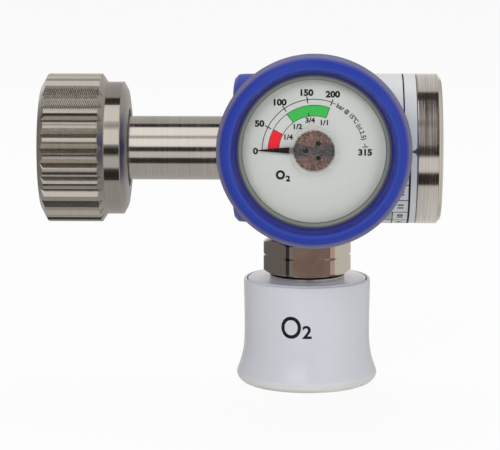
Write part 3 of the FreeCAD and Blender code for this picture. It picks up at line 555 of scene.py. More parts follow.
def letterMesh(name, text, height, bold, thick=0.02, capShare=0.73):
    # letters in the XY plane, centred, height of a capital in mm
    curve = bpy.data.curves.new(name, "FONT")
    curve.body = text
    curve.size = height / capShare
    curve.align_x = "CENTER"
    curve.align_y = "CENTER"
    curve.offset = bold
    curve.extrude = thick
    curve.resolution_u = 5
    temp = bpy.data.objects.new(name, curve)
    scene.collection.objects.link(temp)
    deps = bpy.context.evaluated_depsgraph_get()
    mesh = bpy.data.meshes.new_from_object(temp.evaluated_get(deps))
    bpy.data.objects.remove(temp)
    bpy.data.curves.remove(curve)
    mesh.name = name
    return mesh


def placeLetters(name, mesh, place, slices=0.0):
    # place turns a flat letter point into one on the object, both in mm; slices let it bend
    form = bmesh.new()
    form.from_mesh(mesh)
    bmesh.ops.remove_doubles(form, verts=form.verts, dist=0.0005)
    if slices:
        low = min(v.co.x for v in form.verts)
        high = max(v.co.x for v in form.verts)
        cut = low + slices
        while cut < high:
            everything = form.verts[:] + form.edges[:] + form.faces[:]
            bmesh.ops.bisect_plane(form, geom=everything, plane_co=(cut, 0, 0), plane_no=(1, 0, 0))
            cut += slices
    for vert in form.verts:
        vert.co = place(vert.co.copy()) * mm
    bmesh.ops.recalc_face_normals(form, faces=form.faces)
    form.to_mesh(mesh)
    form.free()
    return addPiece(name, mesh, "inkBlack", 25.0)


# Geometry Nodes: one part repeated round the body axis

def repeatAround(name, part, count, center, finish):
    tree = bpy.data.node_groups.new(name + "Tree", "GeometryNodeTree")
    kinds = {"Geometry": "Geometry", "Count": "Int", "Center": "Vector", "Weld": "Float",
             "Material": "Material"}
    for label, kind in kinds.items():
        tree.interface.new_socket(label, in_out="INPUT", socket_type="NodeSocket" + kind)
    tree.interface.new_socket("Geometry", in_out="OUTPUT", socket_type="NodeSocketGeometry")
    nodes = Nodes(tree)
    source = nodes.node("NodeGroupInput")
    shape, number, middle, weld, paint = [source.other(label) for label in kinds]
    back = nodes.node("ShaderNodeVectorMath", {"operation": "SCALE"}, {0: middle, "Scale": -1.0})
    inward = nodes.node("GeometryNodeTransform", None, {"Geometry": shape, "Translation": back})
    line = nodes.node("GeometryNodeMeshLine", None, {"Offset": (0, 0, 0), "Count": number})
    angle = nodes.node("GeometryNodeInputIndex") / number * (2 * math.pi)
    copies = nodes.node("GeometryNodeInstanceOnPoints", None,
                        {"Points": line, "Instance": inward, "Rotation": nodes.join(angle)})
    real = nodes.node("GeometryNodeRealizeInstances", None, {0: copies})
    outward = nodes.node("GeometryNodeTransform", None, {"Geometry": real, "Translation": middle})
    welded = nodes.node("GeometryNodeMergeByDistance", None, {"Geometry": outward, "Distance": weld})
    painted = nodes.node("GeometryNodeSetMaterial", None, {"Geometry": welded, "Material": paint})
    nodes.node("NodeGroupOutput", None, {0: painted})
    tool = part.modifiers.new("repeat", "NODES")
    tool.node_group = tree
    values = {"Count": count, "Center": tuple(center * mm), "Weld": 0.000004, "Material": finishes[finish]}
    for item in tree.interface.items_tree:
        if item.in_out == "INPUT" and item.name in values:
            tool[item.identifier] = values[item.name]
    return bake(part, 24.0)


# Hand nut

nut = {"radius": 22.5, "toothed": 20.2, "count": 30, "grooveWidth": 3.0, "grooveDepth": 1.9,
       "frontAlong": 2.5, "frontDrop": 3.6, "dome": 0.5, "midAlong": 1.5, "midDrop": 2.2, "collar": 20.15,
       "edge": 0.1, "threadRadius": 12.06, "lead": 2.0, "threadLength": 10.0, "relief": 13.2,
       "reliefLength": 5.7, "bore": 9.78, "backBore": 12.0, "backDepth": 2.6, "backShort": 0.9,
       "turns": 12, "threadDepth": 0.5,
       "lip": (1.2, 2.4),  # flat ring at the mouth, beyond the thread
       "shoulder": ((-0.03, -0.15), (0.05, 0.03)),  # where the dome meets the front chamfer
       "backCurve": ((2.1, 0), (1.95, 0), (1.7, 0.12), (1.1, 1.2), (0.6, 2.2), (0.45, 2.7), (0.04, 5.6),
                     (0, 6.0)),  # distance from the back and drop below the collar
       "frontRows": (0.10, 0.0, -0.12, -0.25), "endRows": (0.25, 0.12, 0.0, -0.10)}  # beside the teeth's edges


def nutColumns():  # radius and angle of one tooth's points, from groove to groove
    radius, depth, wide, soft = pick(nut, "radius grooveDepth grooveWidth edge")
    step = math.radians(360.0 / nut["count"])
    floor = radius - depth
    crestEdge = step / 2 - wide / 2 / radius
    slope = math.hypot(depth, wide / 2)
    drop, swing = soft * depth / slope, soft * 1.5 / slope / radius
    half = [(floor + 0.05, -step / 2), (floor + 0.12, -step / 2 + 0.08 / radius),
            (radius - drop, -crestEdge - swing), (radius - drop * 0.3, -crestEdge - swing * 0.25),
            (radius, -crestEdge + soft / radius)]
    return half + [(radius, 0.0)] + [(r, -a) for r, a in reversed(half)]


def makeNut():
    low, high = span("inlet_hand_nut")
    front, back = low.x, high.x - nut["backShort"]
    radius, collar, inner, dome, frontDrop = pick(nut, "radius collar threadRadius dome frontDrop")
    backBore, bore, relief = pick(nut, "backBore bore relief")
    end = front + nut["toothed"]
    start = front + nut["lead"]
    thread = start + nut["threadLength"]
    cavity = thread + nut["reliefLength"]
    floor = back - nut["backDepth"]

    def frontOf(r):
        climb = max(0.0, r - (radius - frontDrop)) / frontDrop
        return front + dome + climb * (nut["frontAlong"] - dome)

    def endOf(r):
        return end - max(0.0, r - (radius - nut["midDrop"])) * nut["midAlong"] / nut["midDrop"]

    def rowPoint(first, second, r):  # a ring, or a row that follows the edge of the teeth
        if not callable(first):
            return first, second
        inside = second > 0 if first is frontOf else second < 0
        r2 = r - abs(second) * 0.9 if inside else r
        return first(r2) - (0 if inside else second), r2

    rows = [(front, inner + lip) for lip in nut["lip"]]
    rows += [(front + dome + along, radius - frontDrop + rise) for along, rise in nut["shoulder"]]
    rows += [(frontOf, shift) for shift in nut["frontRows"]] + [(endOf, shift) for shift in nut["endRows"]]
    rows += [(end, radius - nut["midDrop"] + 0.02), (end, collar + 0.15), (end + 0.12, collar),
             (end + 0.24, collar)]
    rows += [(back - along, collar - drop) for along, drop in nut["backCurve"]]
    rows += [(back, backBore + 0.2), (back - 0.2, backBore), (floor, backBore), (floor, bore), (cavity, bore),
             (cavity, relief), (thread, relief), (thread, inner)]
    halves = nut["turns"] * 2
    for k in range(halves, 0, -1):
        rows.append((start + nut["threadLength"] * k / halves, inner + nut["threadDepth"] * (k % 2)))
    columns = nutColumns()
    verts = [spinPoint(*rowPoint(*row, r), swing, "x", bodyAxis) for row in rows for r, swing in columns]
    width = len(columns)
    faces = []
    for row in range(len(rows)):
        here, there = row * width, (row + 1) % len(rows) * width
        faces += [(here + k, here + k + 1, there + k + 1, there + k) for k in range(width - 1)]
    wedge = meshFrom("handNut", verts, faces, None, 24.0, weld=False)
    piece = repeatAround("handNut", wedge, nut["count"], bodyAxis, "nut")
    form = bmesh.new()
    form.from_mesh(piece.data)
    bmesh.ops.recalc_face_normals(form, faces=form.faces)
    form.to_mesh(piece.data)
    form.free()
    piece.data.set_sharp_from_angle(angle=math.radians(24))
    settle(piece, "nickel_knurled", "inlet_hand_nut", body="hand_nut")


makeNut()
print("hand nut made")


# Stem and nipple

stem = {"radius": 9.7, "flange": 11.2, "flangeThick": 3.0, "nose": 6.5, "noseLength": 2.3, "bore": 4.2,
        "boreDepth": 8.2, "passage": 1.6, "ringDepth": 0.8, "spigot": 6.9, "coverWall": 1.1}


def makeStem():
    low, high = span("inlet_nipple")
    ringLow, ringHigh = span("nut_retaining_ring")
    radius, wide, nose, bore, passage, spigot = pick(stem, "radius flange nose bore passage spigot")
    shoulder = span("body_cover")[0].x + stem["coverWall"]
    front = low.x
    flange = front + stem["noseLength"]
    back = flange + stem["flangeThick"]
    depth = front + stem["boreDepth"]
    groove = radius - stem["ringDepth"]
    piece = lathe("inletStem", [
        (front, bore, 0.1), (depth, bore, 0), (depth, passage, 0), (high.x, passage, 0),
        (high.x, spigot, 0.2), (shoulder, spigot, 0), (shoulder, radius, 0), (ringHigh.x, radius, 0.05),
        (ringHigh.x, groove, 0), (ringLow.x, groove, 0), (ringLow.x, radius, 0.05), (back, radius, 0.2),
        (back, wide, 0.25), (flange, wide, 0.25), (flange, nose, 0.1), (front, nose, 0.4)], "x", "stem")
    settle(piece, "nickel_turned", "inlet_nipple")


# Body end: cap, label and its print

cap = {"radius": 22.75, "chamfer": 1.2, "edge": 0.25, "labelGap": 0.2, "recess": 9.0, "recessDepth": 4.0,
       "seat": 17.9, "sink": 15.2, "sinkDepth": 0.12, "holeRadius": 1.6, "holeOffset": 9.0, "holeDepth": 3.5}
label = {"radius": 22.7, "thick": 0.2, "seam": 0.5, "rise": 1.75, "corner": 1.5, "steps": 240}
labelInk = {"rules": [(28.3, 28.75, 1.0, 34.0), (29.95, 30.55, -2.2, -34.0)],  # x from, x to, arc from, arc to
            "middle": (25.3, 25.6, -21.5, -34.0), "shade": (20.0, 25.2, -22.0, -27.0),
            "cells": (-10.2, -15.9, -21.5, -27.1, -32.7), "cellEnds": (20.0, 29.95), "line": 0.3,
            "numbers": {"12": -13.1, "11": -18.7, "10": -24.3, "9": -29.9},
            "numberX": 27.85, "numberHeight": 1.7, "spread": 1.15, "bold": 0.11}


def makeCap():
    low, high = span("end_cap")
    seat = span("rating_label")[1].x + cap["labelGap"]
    right = high.x
    radius, chamfer, edge, sink = pick(cap, "radius chamfer edge sink")
    face = right - cap["sinkDepth"]
    piece = lathe("endCap", [
        (low.x + cap["recessDepth"], 0, 0), (low.x + cap["recessDepth"], cap["recess"], 0.1),
        (low.x, cap["recess"], 0.1), (low.x, cap["seat"], 0.1), (seat, cap["seat"], 0), (seat, radius, 0.3),
        (right - chamfer, radius, edge), (right, radius - chamfer, edge), (right, sink, 0.1),
        (face, sink - 0.2, 0.1), (face, 0, 0)], "x", "cap", 160, 30.0)
    cutAway(piece, [rod("capHole", -cap["holeDepth"], 1, cap["holeRadius"], "x", "cap", 32,
                        Vector((right, side * cap["holeOffset"], lay["axisHeight"]))) for side in (-1, 1)])
    settle(piece, "nickel_turned", "end_cap")


def labelPoint(x, arc, lift):
    # arc in mm round the label, upwards from the seam's middle as seen from the front
    radius = label["radius"]
    angle = math.asin(label["rise"] / radius) + arc / radius
    r = radius + lift
    return Vector((x, -r * math.cos(angle), lay["axisHeight"] + r * math.sin(angle)))


def makeLabel():
    low, high = span("rating_label")
    radius, seam, corner, steps = pick(label, "radius seam corner steps")
    start, end = seam / 2, 2 * math.pi * radius - seam / 2
    bend = [(corner * (1 - math.cos(math.pi / 16 * k)), corner * (1 - math.sin(math.pi / 16 * k)))
            for k in range(9)]
    stations = [(start + arc, cut) for arc, cut in bend]
    stations += [(start + corner + (end - start - 2 * corner) * k / steps, 0.0) for k in range(1, steps)]
    stations += [(end - arc, cut) for arc, cut in reversed(bend)]
    lift = -label["thick"]
    one = [(labelPoint(low.x + cut, a, 0), labelPoint(low.x + cut, a, lift)) for a, cut in stations]
    two = [(labelPoint(high.x - cut, a, 0), labelPoint(high.x - cut, a, lift)) for a, cut in stations]
    settle(solidBand("ratingLabel", one, two, "label"), "label_film", "rating_label")


def labelStroke(name, x0, x1, arc0, arc1, finish="inkBlack", lift=0.03, sunk=0.004):
    steps = max(1, int(abs(arc1 - arc0) / 0.8))
    rows = [arc0 + (arc1 - arc0) * k / steps for k in range(steps + 1)]
    one, two = ([(labelPoint(x, a, lift), labelPoint(x, a, sunk)) for a in rows] for x in (x0, x1))
    return solidBand(name, one, two, finish)


def makeLabelPrint():
    numberX, spread = pick(labelInk, "numberX spread")
    strokes = [labelStroke("rule", *rule) for rule in labelInk["rules"]]
    for arc in labelInk["cells"]:
        strokes.append(labelStroke("rule", *labelInk["cellEnds"], arc, arc - labelInk["line"]))
    strokes.append(labelStroke("rule", *labelInk["middle"]))
    for text, arc in labelInk["numbers"].items():
        mesh = letterMesh("number", text, labelInk["numberHeight"], labelInk["bold"])

        def place(point, arc=arc):
            spot = labelPoint(numberX - point.y, arc + point.x * spread, 0.0)
            out = Vector((0, spot.y, spot.z - lay["axisHeight"])).normalized()
            return spot + out * (0.02 + point.z * 0.5)

        strokes.append(placeLetters("number", mesh, place, 0.5))
    settle(joinPieces("labelPrint", strokes, "inkBlack"), "label_film")
    settle(labelStroke("labelShade", *labelInk["shade"], "labelGrey", 0.02), "label_film")


makeStem()
makeCap()
makeLabel()
makeLabelPrint()
print("stem, cap and label made")


# Blue cover and gauge guard

cover = {"right": 14.6, "wall": 1.1, "radius": 22.55, "corner": 1.6, "inner": 21.45, "hole": 9.9,
         "dish": 0.35, "dishWidth": 3.3, "neckGap": 11.1, "window": 11.2, "collar": 12.4, "collarEnd": -18.2,
         "core": 22.4}
guard = {"radius": 28.2, "backRadius": 25.9, "wall": 1.4, "taper": 3.5, "draft": 1.3, "bevelDrop": 1.8,
         "bevelFront": 0.7, "bevelLong": 3.2, "crest": 24.1, "lip": 22.2, "bore": 24.3, "hole": 12.6,
         "inside": -24.4, "caseFront": -42.4}


def makeCover():
    left = span("body_cover")[0].x
    right, radius, corner, inner = pick(cover, "right radius corner inner")
    wall, hole, dish, window = pick(cover, "wall hole dish window")
    shell = lathe("bodyCover", [
        (left + dish, hole, 0.1), (left, hole + cover["dishWidth"], 2.5), (left, radius - 2.2 * corner, 1.0),
        (left + dish, radius - corner, 0.7), (left + corner, radius - 0.2, 0.7),
        (left + 2.2 * corner, radius, 1.0), (right, radius, 0.3), (right, inner, 0.1),
        (left + wall, inner, 0), (left + wall, hole, 0)], "x", "cover", 144, 30.0)
    cutAway(shell, [rod("mouth", 30, 60, cover["neckGap"], "z", "cover", 64),
                    rod("window", -40, -5, window, "y", "cover", 64)])
    settle(shell, "blue_plastic", "body_cover")
    inside, end, wide = guard["inside"], cover["collarEnd"], cover["collar"]
    profile = [(inside, window, 0.1), (inside, wide, 0.1), (end, wide, 0), (end, window, 0)]
    collar = lathe("coverCollar", profile, "y", "cover", 96)
    cutAway(collar, [rod("core", -30, 30, cover["core"], "x", "cover", 144)])
    settle(collar, "blue_plastic")


def makeGuard():
    front = span("gauge_guard")[0].y
    radius, bore, hole, lip, crest = pick(guard, "radius bore hole lip crest")
    inside, caseFront = pick(guard, "inside caseFront")
    back, bevel, edge = inside + guard["wall"], front + guard["bevelFront"], radius - guard["bevelDrop"]
    piece = lathe("gaugeGuard", [
        (back, hole, 0.2), (back, guard["backRadius"], 1.6),
        (inside - guard["taper"], radius - guard["draft"], 2.0),
        (bevel + guard["bevelLong"], radius, 0.9), (bevel, edge, 0.7), (front + 0.1, edge - 1.0, 1.0),
        (front, crest + 0.9, 0.8), (front + 0.05, crest - 0.1, 0.5), (front + 1.6, crest - 0.95, 0.8),
        (caseFront + 0.15, lip + 0.1, 0.2), (caseFront, lip, 0.1), (caseFront, bore, 0), (inside, bore, 0),
        (inside, hole, 0)], "y", "guard", 200, 40.0, 6)
    settle(piece, "blue_plastic", "gauge_guard")


makeCover()
makeGuard()
print("cover and guard made")


# Gauge front

gauge = {"caseRadius": 24.2, "caseInner": 23.0, "caseHole": 5.0, "caseBack": -24.4, "caseFloor": -25.8,
         "caseFront": -42.4, "bezelBack": -41.2, "bezelRim": 21.8, "bezelStep": 21.4, "window": 20.6,
         "lensBack": -39.8, "lensBoss": 7.2, "bossLift": 0.3, "dialFront": -37.9, "dialBack": -37.3,
         "dialHole": 1.6, "inner": 22.9, "post": 1.1, "postCircle": 21.9}
scale = {"perBar": 0.5485, "arc": 15.0, "tickIn": 13.93, "tickOut": 15.92, "zeroOut": 16.3, "bandIn": 10.18,
         "bandOut": 13.28, "redEnd": 28.0, "greenStart": 53.5, "greenEnd": 109.6, "line": 0.24,
         "numberHeight": 1.8, "shareHeight": 1.46, "unitRadius": 14.75, "unitStart": 115.8, "unitSpan": 51.5}
dialArcs = {  # inner and outer radius, first and last degree
    "bands": [(10.08, 10.28, 28.0, 53.5), (13.18, 13.38, 28.0, 53.5)],
    "dashes": [(14.62, 14.86, 171.2, 175.3), (14.75, 14.98, 110.6, 114.2)]}
numbers = [("0", -16.9, -0.15), ("50", -15.75, 7.85), ("100", -10.05, 14.0), ("150", -2.35, 16.8),
           ("200", 5.3, 16.35), ("315", 14.7, -0.45)]
shares = [("1/4", -7.55, 3.95), ("1/2", -4.87, 7.0), ("3/4", -1.2, 8.85), ("1/1", 2.9, 8.15)]
gas = [("O", -9.7, -7.1, 2.45, 0.2, 0.95), ("2", -7.5, -8.1, 1.6, 0.12, 1.1)]
unit = {"text": "bar @ 15°C (cl.2.5)", "usual": 2.6, "widths": {
    " ": 1.6, "@": 3.9, "b": 2.7, "C": 3.2, "c": 2.4, "(": 1.7, ")": 1.7, ".": 1.5, "l": 1.3, "1": 2.2,
    "°": 1.9, "r": 1.9}}


def around(count, radius, first):  # points spaced evenly round the gauge axis
    angles = [math.radians(first + 360 / count * k) for k in range(count)]
    return [gaugeAxis + Vector((radius * math.cos(a), 0, radius * math.sin(a))) for a in angles]


def makeGaugeFront():
    caseRadius, caseInner, caseHole = pick(gauge, "caseRadius caseInner caseHole")
    caseBack, caseFloor, caseFront = pick(gauge, "caseBack caseFloor caseFront")
    window, inner, boss, bezelBack, lensBack = pick(gauge, "window inner lensBoss bezelBack lensBack")
    dialHole, dialFront, dialBack = pick(gauge, "dialHole dialFront dialBack")
    case = lathe("gaugeCase", [
        (caseBack, caseHole, 0.1), (caseBack, caseRadius, 0.5), (caseFront, caseRadius, 0.15),
        (caseFront, caseInner, 0.1), (caseFloor, caseInner, 0), (caseFloor, caseHole, 0)], "y", "case")
    posts = [rod("post", caseFloor, dialBack, gauge["post"], "y", "case", 20, spot)
             for spot in around(3, gauge["postCircle"], 30)]
    settle(joinPieces("gaugeCase", [case] + posts, "case"), "gauge_steel", "gauge_case")
    rim = caseFront + 0.1
    bezel = lathe("gaugeBezel", [
        (bezelBack, window, 0.05), (bezelBack, inner, 0), (rim, inner, 0.1), (rim, gauge["bezelRim"], 0.15),
        (rim + 0.25, gauge["bezelStep"], 0.15), (rim + 0.45, window + 0.15, 0.1)], "y", "bezel", 160, 40.0)
    settle(bezel, "gauge_steel", "gauge_bezel")
    lifted = bezelBack - gauge["bossLift"]
    lens = lathe("gaugeLens", [
        (lensBack, 0, 0), (lensBack, inner, 0.1), (bezelBack, inner, 0.1), (bezelBack, boss, 0.05),
        (lifted, boss - 0.3, 0.1), (lifted, 0, 0)], "y", "lens", 144, 20.0)
    settle(lens, "lens_clear", "gauge_lens")
    dial = lathe("gaugeDial", [(dialFront, dialHole, 0.05), (dialFront, inner, 0.1), (dialBack, inner, 0),
                               (dialBack, dialHole, 0)], "y", "dial")
    settle(dial, "dial_face", "gauge_dial")


def dialPoint(radius, degrees, depth=0.0):
    # degrees count from the left, clockwise as seen on the dial
    angle = math.radians(degrees)
    return Vector((lay["gaugeX"] - radius * math.cos(angle), depth,
                   lay["gaugeZ"] - lay["printDrop"] + radius * math.sin(angle)))


def arcBand(name, inner, outer, start, end, front=gauge["dialFront"] - 0.02, thick=0.018, finish="inkBlack"):
    steps = max(2, int((end - start) / 1.5))
    rows = [start + (end - start) * k / steps for k in range(steps + 1)]
    low, high = ([(dialPoint(radius, a, front), dialPoint(radius, a, front + thick)) for a in rows]
                 for radius in (inner, outer))
    return solidBand(name, low, high, finish)


def tick(inner, outer, degrees, width, radius, *depths):  # half its width in mm, and the radius it has it at
    half = math.degrees(width / radius)
    return arcBand("tick", inner, outer, degrees - half, degrees + half, *depths)


def dialLetters(name, text, x, z, height, bold, squeeze, turn=0.0):
    spin = Matrix.Rotation(math.radians(turn), 3, "Y")
    middle = Vector((lay["gaugeX"] + x, gauge["dialFront"] - 0.012, lay["gaugeZ"] - lay["printDrop"] + z))

    def place(point):
        flat = Vector((point.x * squeeze, 0, point.y))
        flat.rotate(spin)
        return middle + Vector((flat.x, -point.z, flat.z))

    return placeLetters(name, letterMesh(name, text, height, bold), place)


def unitLetters():
    text, usual, widths = pick(unit, "text usual widths")
    share = scale["unitSpan"] / sum(widths.get(letter, usual) for letter in text)
    spot, made = scale["unitStart"], []
    for letter in text:
        width = widths.get(letter, usual) * share
        middle = spot + width / 2
        spot += width
        if letter != " ":
            place = dialPoint(scale["unitRadius"], middle) - gaugeAxis
            height = 1.05 if letter == "@" else 1.35
            level = place.z + lay["printDrop"]
            made.append(dialLetters("unit", letter, place.x, level, height, 0.05, 0.9, middle - 90))
    return made


def makeDialPrint():
    per, line, arc, tickIn, bandIn, bandOut = pick(scale, "perBar line arc tickIn bandIn bandOut")
    redEnd, greenStart, greenEnd = pick(scale, "redEnd greenStart greenEnd")
    raised = (gauge["dialFront"] - 0.047, 0.03)
    dark = [arcBand("arc", arc - line / 2, arc + line / 2, 0, 200 * per)]
    for bar in (0, 50, 100, 150, 200):
        outer = scale["tickOut"] if bar else scale["zeroOut"]
        dark.append(tick(tickIn, outer, max(0.3, bar * per), 0.15, 15))
    dark += [arcBand("arc", *row) for row in dialArcs["bands"]]
    edge = math.degrees(0.09 / 12)
    for first, last in ((0.0, redEnd), (greenStart, greenEnd)):
        dark.append(arcBand("edge", bandIn - 0.09, bandOut + 0.09, first - edge, last + edge))
    dark.append(tick(bandIn - 0.1, bandIn + 1.0, 81.4, 0.13, 11, *raised))
    dark.append(tick(13.9, 15.6, 175.3, 0.13, 15))
    dark += [arcBand("dash", *row) for row in dialArcs["dashes"]]
    dark += [dialLetters("number", *row, scale["numberHeight"], 0.125, 1.1) for row in numbers]
    dark += [dialLetters("number", *row, scale["shareHeight"], 0.08, 1.1) for row in shares]
    dark += [dialLetters("gas", *row) for row in gas]
    settle(joinPieces("dialPrint", dark + unitLetters(), "inkBlack"), "pointer_black")
    trim = math.degrees(0.07 / 12)
    over = (gauge["dialFront"] - 0.035, 0.03)
    red = arcBand("redZone", bandIn + 0.06, bandOut - 0.06, trim, redEnd - trim, *over, "inkRed")
    settle(red, "dial_face")
    green = arcBand("greenZone", bandIn + 0.07, bandOut - 0.07, greenStart + trim, greenEnd - trim, *over,
                    "inkGreen")
    settle(green, "dial_face")


makeGaugeFront()
makeDialPrint()
print("gauge front and dial print made")


# Pointer and the frosted disc in front of it

needle = {"reach": 15.7, "tip": 0.3, "root": 1.75, "rootAt": 7.5, "neckAt": 3.6, "neck": 0.95, "hub": 3.3,
          "hubAngles": (155, 28), "tail": 5.8, "tailWidth": 2.8, "front": -39.0, "thick": 0.4, "boss": 1.5,
          "bossFront": 0.3, "bossBack": 0.6, "arbor": 0.52}
frost = {"radius": 6.03, "front": 0.02, "thick": 0.3, "ventCircle": 2.43, "hole": 0.82, "plug": 0.80,
         "rim": 0.98, "plugFront": 0.2, "ventBack": 0.36}


def makePointer():
    front, hub, tail, boss, arbor = pick(needle, "front hub tail boss arbor")
    first, last = (math.radians(angle) for angle in needle["hubAngles"])
    half = needle["tailWidth"] / 2
    outline = [(-needle["reach"], needle["tip"] / 2), (-needle["rootAt"], needle["root"] / 2),
               (-needle["neckAt"], needle["neck"])]
    for k in range(9):
        angle = first - (first - last) * k / 8
        outline.append((hub * math.cos(angle), hub * math.sin(angle)))
    outline += [(tail - 0.5, half), (tail, half - 0.4)]
    loop = outline + [(x, -z) for x, z in reversed(outline)]
    count = len(loop)
    verts = [gaugeAxis + Vector((x, y, z)) for y in (front, front + needle["thick"]) for x, z in loop]
    faces = [tuple(range(count)), tuple(range(2 * count - 1, count - 1, -1))]
    faces += [(k, (k + 1) % count, count + (k + 1) % count, count + k) for k in range(count)]
    blade = meshFrom("gaugePointer", verts, faces, "pointer", 30.0)
    start, end = front - needle["bossFront"], front + needle["bossBack"]
    profile = [(start, arbor, 0), (start, boss, 0.15), (end, boss, 0.1), (end, arbor, 0)]
    hubPiece = lathe("pointerHub", profile, "y", "pointer", 40)
    whole = joinPieces("gaugePointer", [blade, hubPiece], "pointer")
    settle(whole, "pointer_black", "gauge_pointer", body="pointer")


def makeFrostedDisc():
    lens = gauge["lensBack"]
    radius, plug, rim = pick(frost, "radius plug rim")
    front = lens + frost["front"]
    back, ventBack = front + frost["thick"], lens + frost["ventBack"]
    piece = lathe("frostedDisc", [(front, 0, 0), (front, radius, 0), (back, radius, 0.1), (back, 0, 0)],
                  "y", "frost", 96)
    ring = [(front, plug, 0), (front, rim, 0.03), (ventBack, rim, 0), (ventBack, plug, 0)]
    holes, rims, plugs = [], [], []
    for spot in around(3, frost["ventCircle"], 60):
        holes.append(rod("hole", lens - 1, lens + 1, frost["hole"], "y", "frost", 32, spot))
        rims.append(lathe("rim", ring, "y", "holeRim", 32, center=spot))
        plugs.append(rod("plug", lens + frost["plugFront"], ventBack, plug, "y", "inkBlack", 32, spot))
    cutAway(piece, holes)
    settle(piece, "hub_disc", "lens_hub_disc")
    settle(joinPieces("ventRims", rims, "holeRim"), "hub_disc")
    settle(joinPieces("ventPlugs", plugs, "inkBlack"), "hub_disc")


makePointer()
makeFrostedDisc()
print("pointer made")


# Outlet fitting, washer and top disc

fitting = {"across": 24.0, "turned": 13.35, "turnDeg": 5.5, "bottom": 33.55, "height": 10.9,
           "chamfer": 11.4, "chamferDeg": 30, "grooveUp": 5.85, "grooveWide": 0.7, "grooveRadius": 12.6,
           "neck": 10.5, "seat": 52.8, "upper": 8.15, "top": 62.4, "lower": 8.0, "end": 24.7, "edge": 0.09,
           "bevel": 0.12, "overlap": 0.3}
washer = {"bore": 8.1, "radius": 11.5, "rim": 11.1, "flat": 10.6}
disc = {"bore": 8.1, "radius": 18.06, "rim": 17.5, "step": 12.6, "sunk": 12.2}


def makeFitting():
    bottom, turned, chamfer, soft, overlap = pick(fitting, "bottom turned chamfer edge overlap")
    top = bottom + fitting["height"]
    drop = (turned - chamfer) * math.tan(math.radians(fitting["chamferDeg"]))
    groove, half = bottom + fitting["grooveUp"], fitting["grooveWide"] / 2
    blank = lathe("outletHex", [
        (bottom, 0, 0), (bottom, chamfer, soft), (bottom + drop, turned, soft), (groove - half, turned, soft),
        (groove, fitting["grooveRadius"], soft), (groove + half, turned, soft), (top - drop, turned, soft),
        (top, chamfer, soft), (top, 0, 0)], "z", "hex", 180)
    corner = fitting["across"] / math.sqrt(3)
    verts = [spinPoint(z, corner, math.radians(fitting["turnDeg"] + 60 * k), "z", upAxis)
             for z in (bottom - 1, top + 1) for k in range(6)]
    faces = [(5, 4, 3, 2, 1, 0), (6, 7, 8, 9, 10, 11)]
    faces += [(k, (k + 1) % 6, 6 + (k + 1) % 6, 6 + k) for k in range(6)]
    prism = meshFrom("prism", verts, faces, "hex")
    addBoolean(blank, "INTERSECT", prism)
    soften = blank.modifiers.new("soften", "BEVEL")
    soften.width = fitting["bevel"] * mm
    soften.segments = 2
    soften.limit_method = "ANGLE"
    soften.angle_limit = math.radians(24)
    bake(blank, 28.0)
    for face in blank.data.polygons:
        face.use_smooth = abs(face.normal.z) > 0.02 or face.area < 0.00001
    bpy.data.objects.remove(prism)
    settle(blank, "nickel_turned", "outlet_fitting")
    neckRadius, seat, upper, neckTop, lowerRadius, end = pick(fitting, "neck seat upper top lower end")
    neck = lathe("outletNeck", [
        (top - overlap, 0, 0), (top - overlap, neckRadius, 0), (seat, neckRadius, 0.2), (seat, upper, 0.1),
        (neckTop, upper, 0.4), (neckTop, 0, 0)], "z", "neck", 96)
    settle(neck, "nickel_turned")
    lower = lathe("outletSpigot", [
        (end, 0, 0), (end, lowerRadius, 0.3), (bottom + overlap, lowerRadius, 0), (bottom + overlap, 0, 0)],
        "z", "neck", 96)
    settle(lower, "nickel_turned")


def makeWasher():
    low, high = span("outlet_washer")
    bottom, top = low.z, high.z
    bore, radius, rim, flat = pick(washer, "bore radius rim flat")
    piece = lathe("outletWasher", [
        (bottom, bore, 0), (bottom, radius, 0.15), (top - 0.25, radius, 0.2), (top - 0.05, rim, 0.15),
        (top, flat, 0.1), (top, bore, 0)], "z", "washer", 144, 40.0)
    settle(piece, "nickel_turned", "outlet_washer")


def makeTopDisc():
    low, high = span("coupler_top_disc")
    bottom, top = low.z, high.z
    bore, radius, rim, step, sunk = pick(disc, "bore radius rim step sunk")
    piece = lathe("couplerTopDisc", [
        (bottom, bore, 0), (bottom, radius, 0.2), (top - 0.45, radius, 0.3), (top, rim, 0.5),
        (top, step, 0.3), (top - 0.05, sunk, 0.1), (top - 0.05, bore, 0)], "z", "disc", 160, 40.0)
    settle(piece, "white_plastic", "coupler_top_disc")


# Coupler sleeve and its print

sleeve = {"height": 32.1, "rimBore": 18.4, "rimIn": 18.65, "rimOut": 18.95, "rimEdge": 19.27, "waist": 19.12,
          "shoulder": 26.15, "bore": 14.08, "landTop": 11.0, "land": 9.14, "ball": 7.8, "landLow": 9.92,
          "landBottom": 2.6, "mouth": 11.2, "lip": 0.4,
          "side": [(31.2, 19.35), (25.7, 19.235), (18.0, 19.12), (11.9, 19.28), (8.0, 19.88), (5.15, 20.74),
                   (3.05, 21.45), (2.1, 21.33), (1.15, 20.85), (0.42, 20.05), (0.0, 19.2)]}
sleeveMarks = {  # text, left, right, bottom and top in mm as they lie on the sleeve, and boldness
    "gasO": ("O", -7.9, -1.75, 16.5, 23.3, 0.12), "gasTwo": ("2", -1.35, 1.45, 16.6, 20.6, 0.13)}


def curvePoints(points, steps=6):
    result = []
    count = len(points)
    for k in range(count - 1):
        p0, p1, p2, p3 = (Vector(points[min(count - 1, max(0, k + j))]) for j in (-1, 0, 1, 2))
        for s in range(steps):
            t = s / steps
            result.append(((2 * p1) + (p2 - p0) * t + (2 * p0 - 5 * p1 + 4 * p2 - p3) * t * t
                           + (3 * p1 - p0 - 3 * p2 + p3) * t ** 3) * 0.5)
    result.append(Vector(points[-1]))
    return [(p.x, p.y) for p in result]


sleeveSide = curvePoints(sleeve["side"])


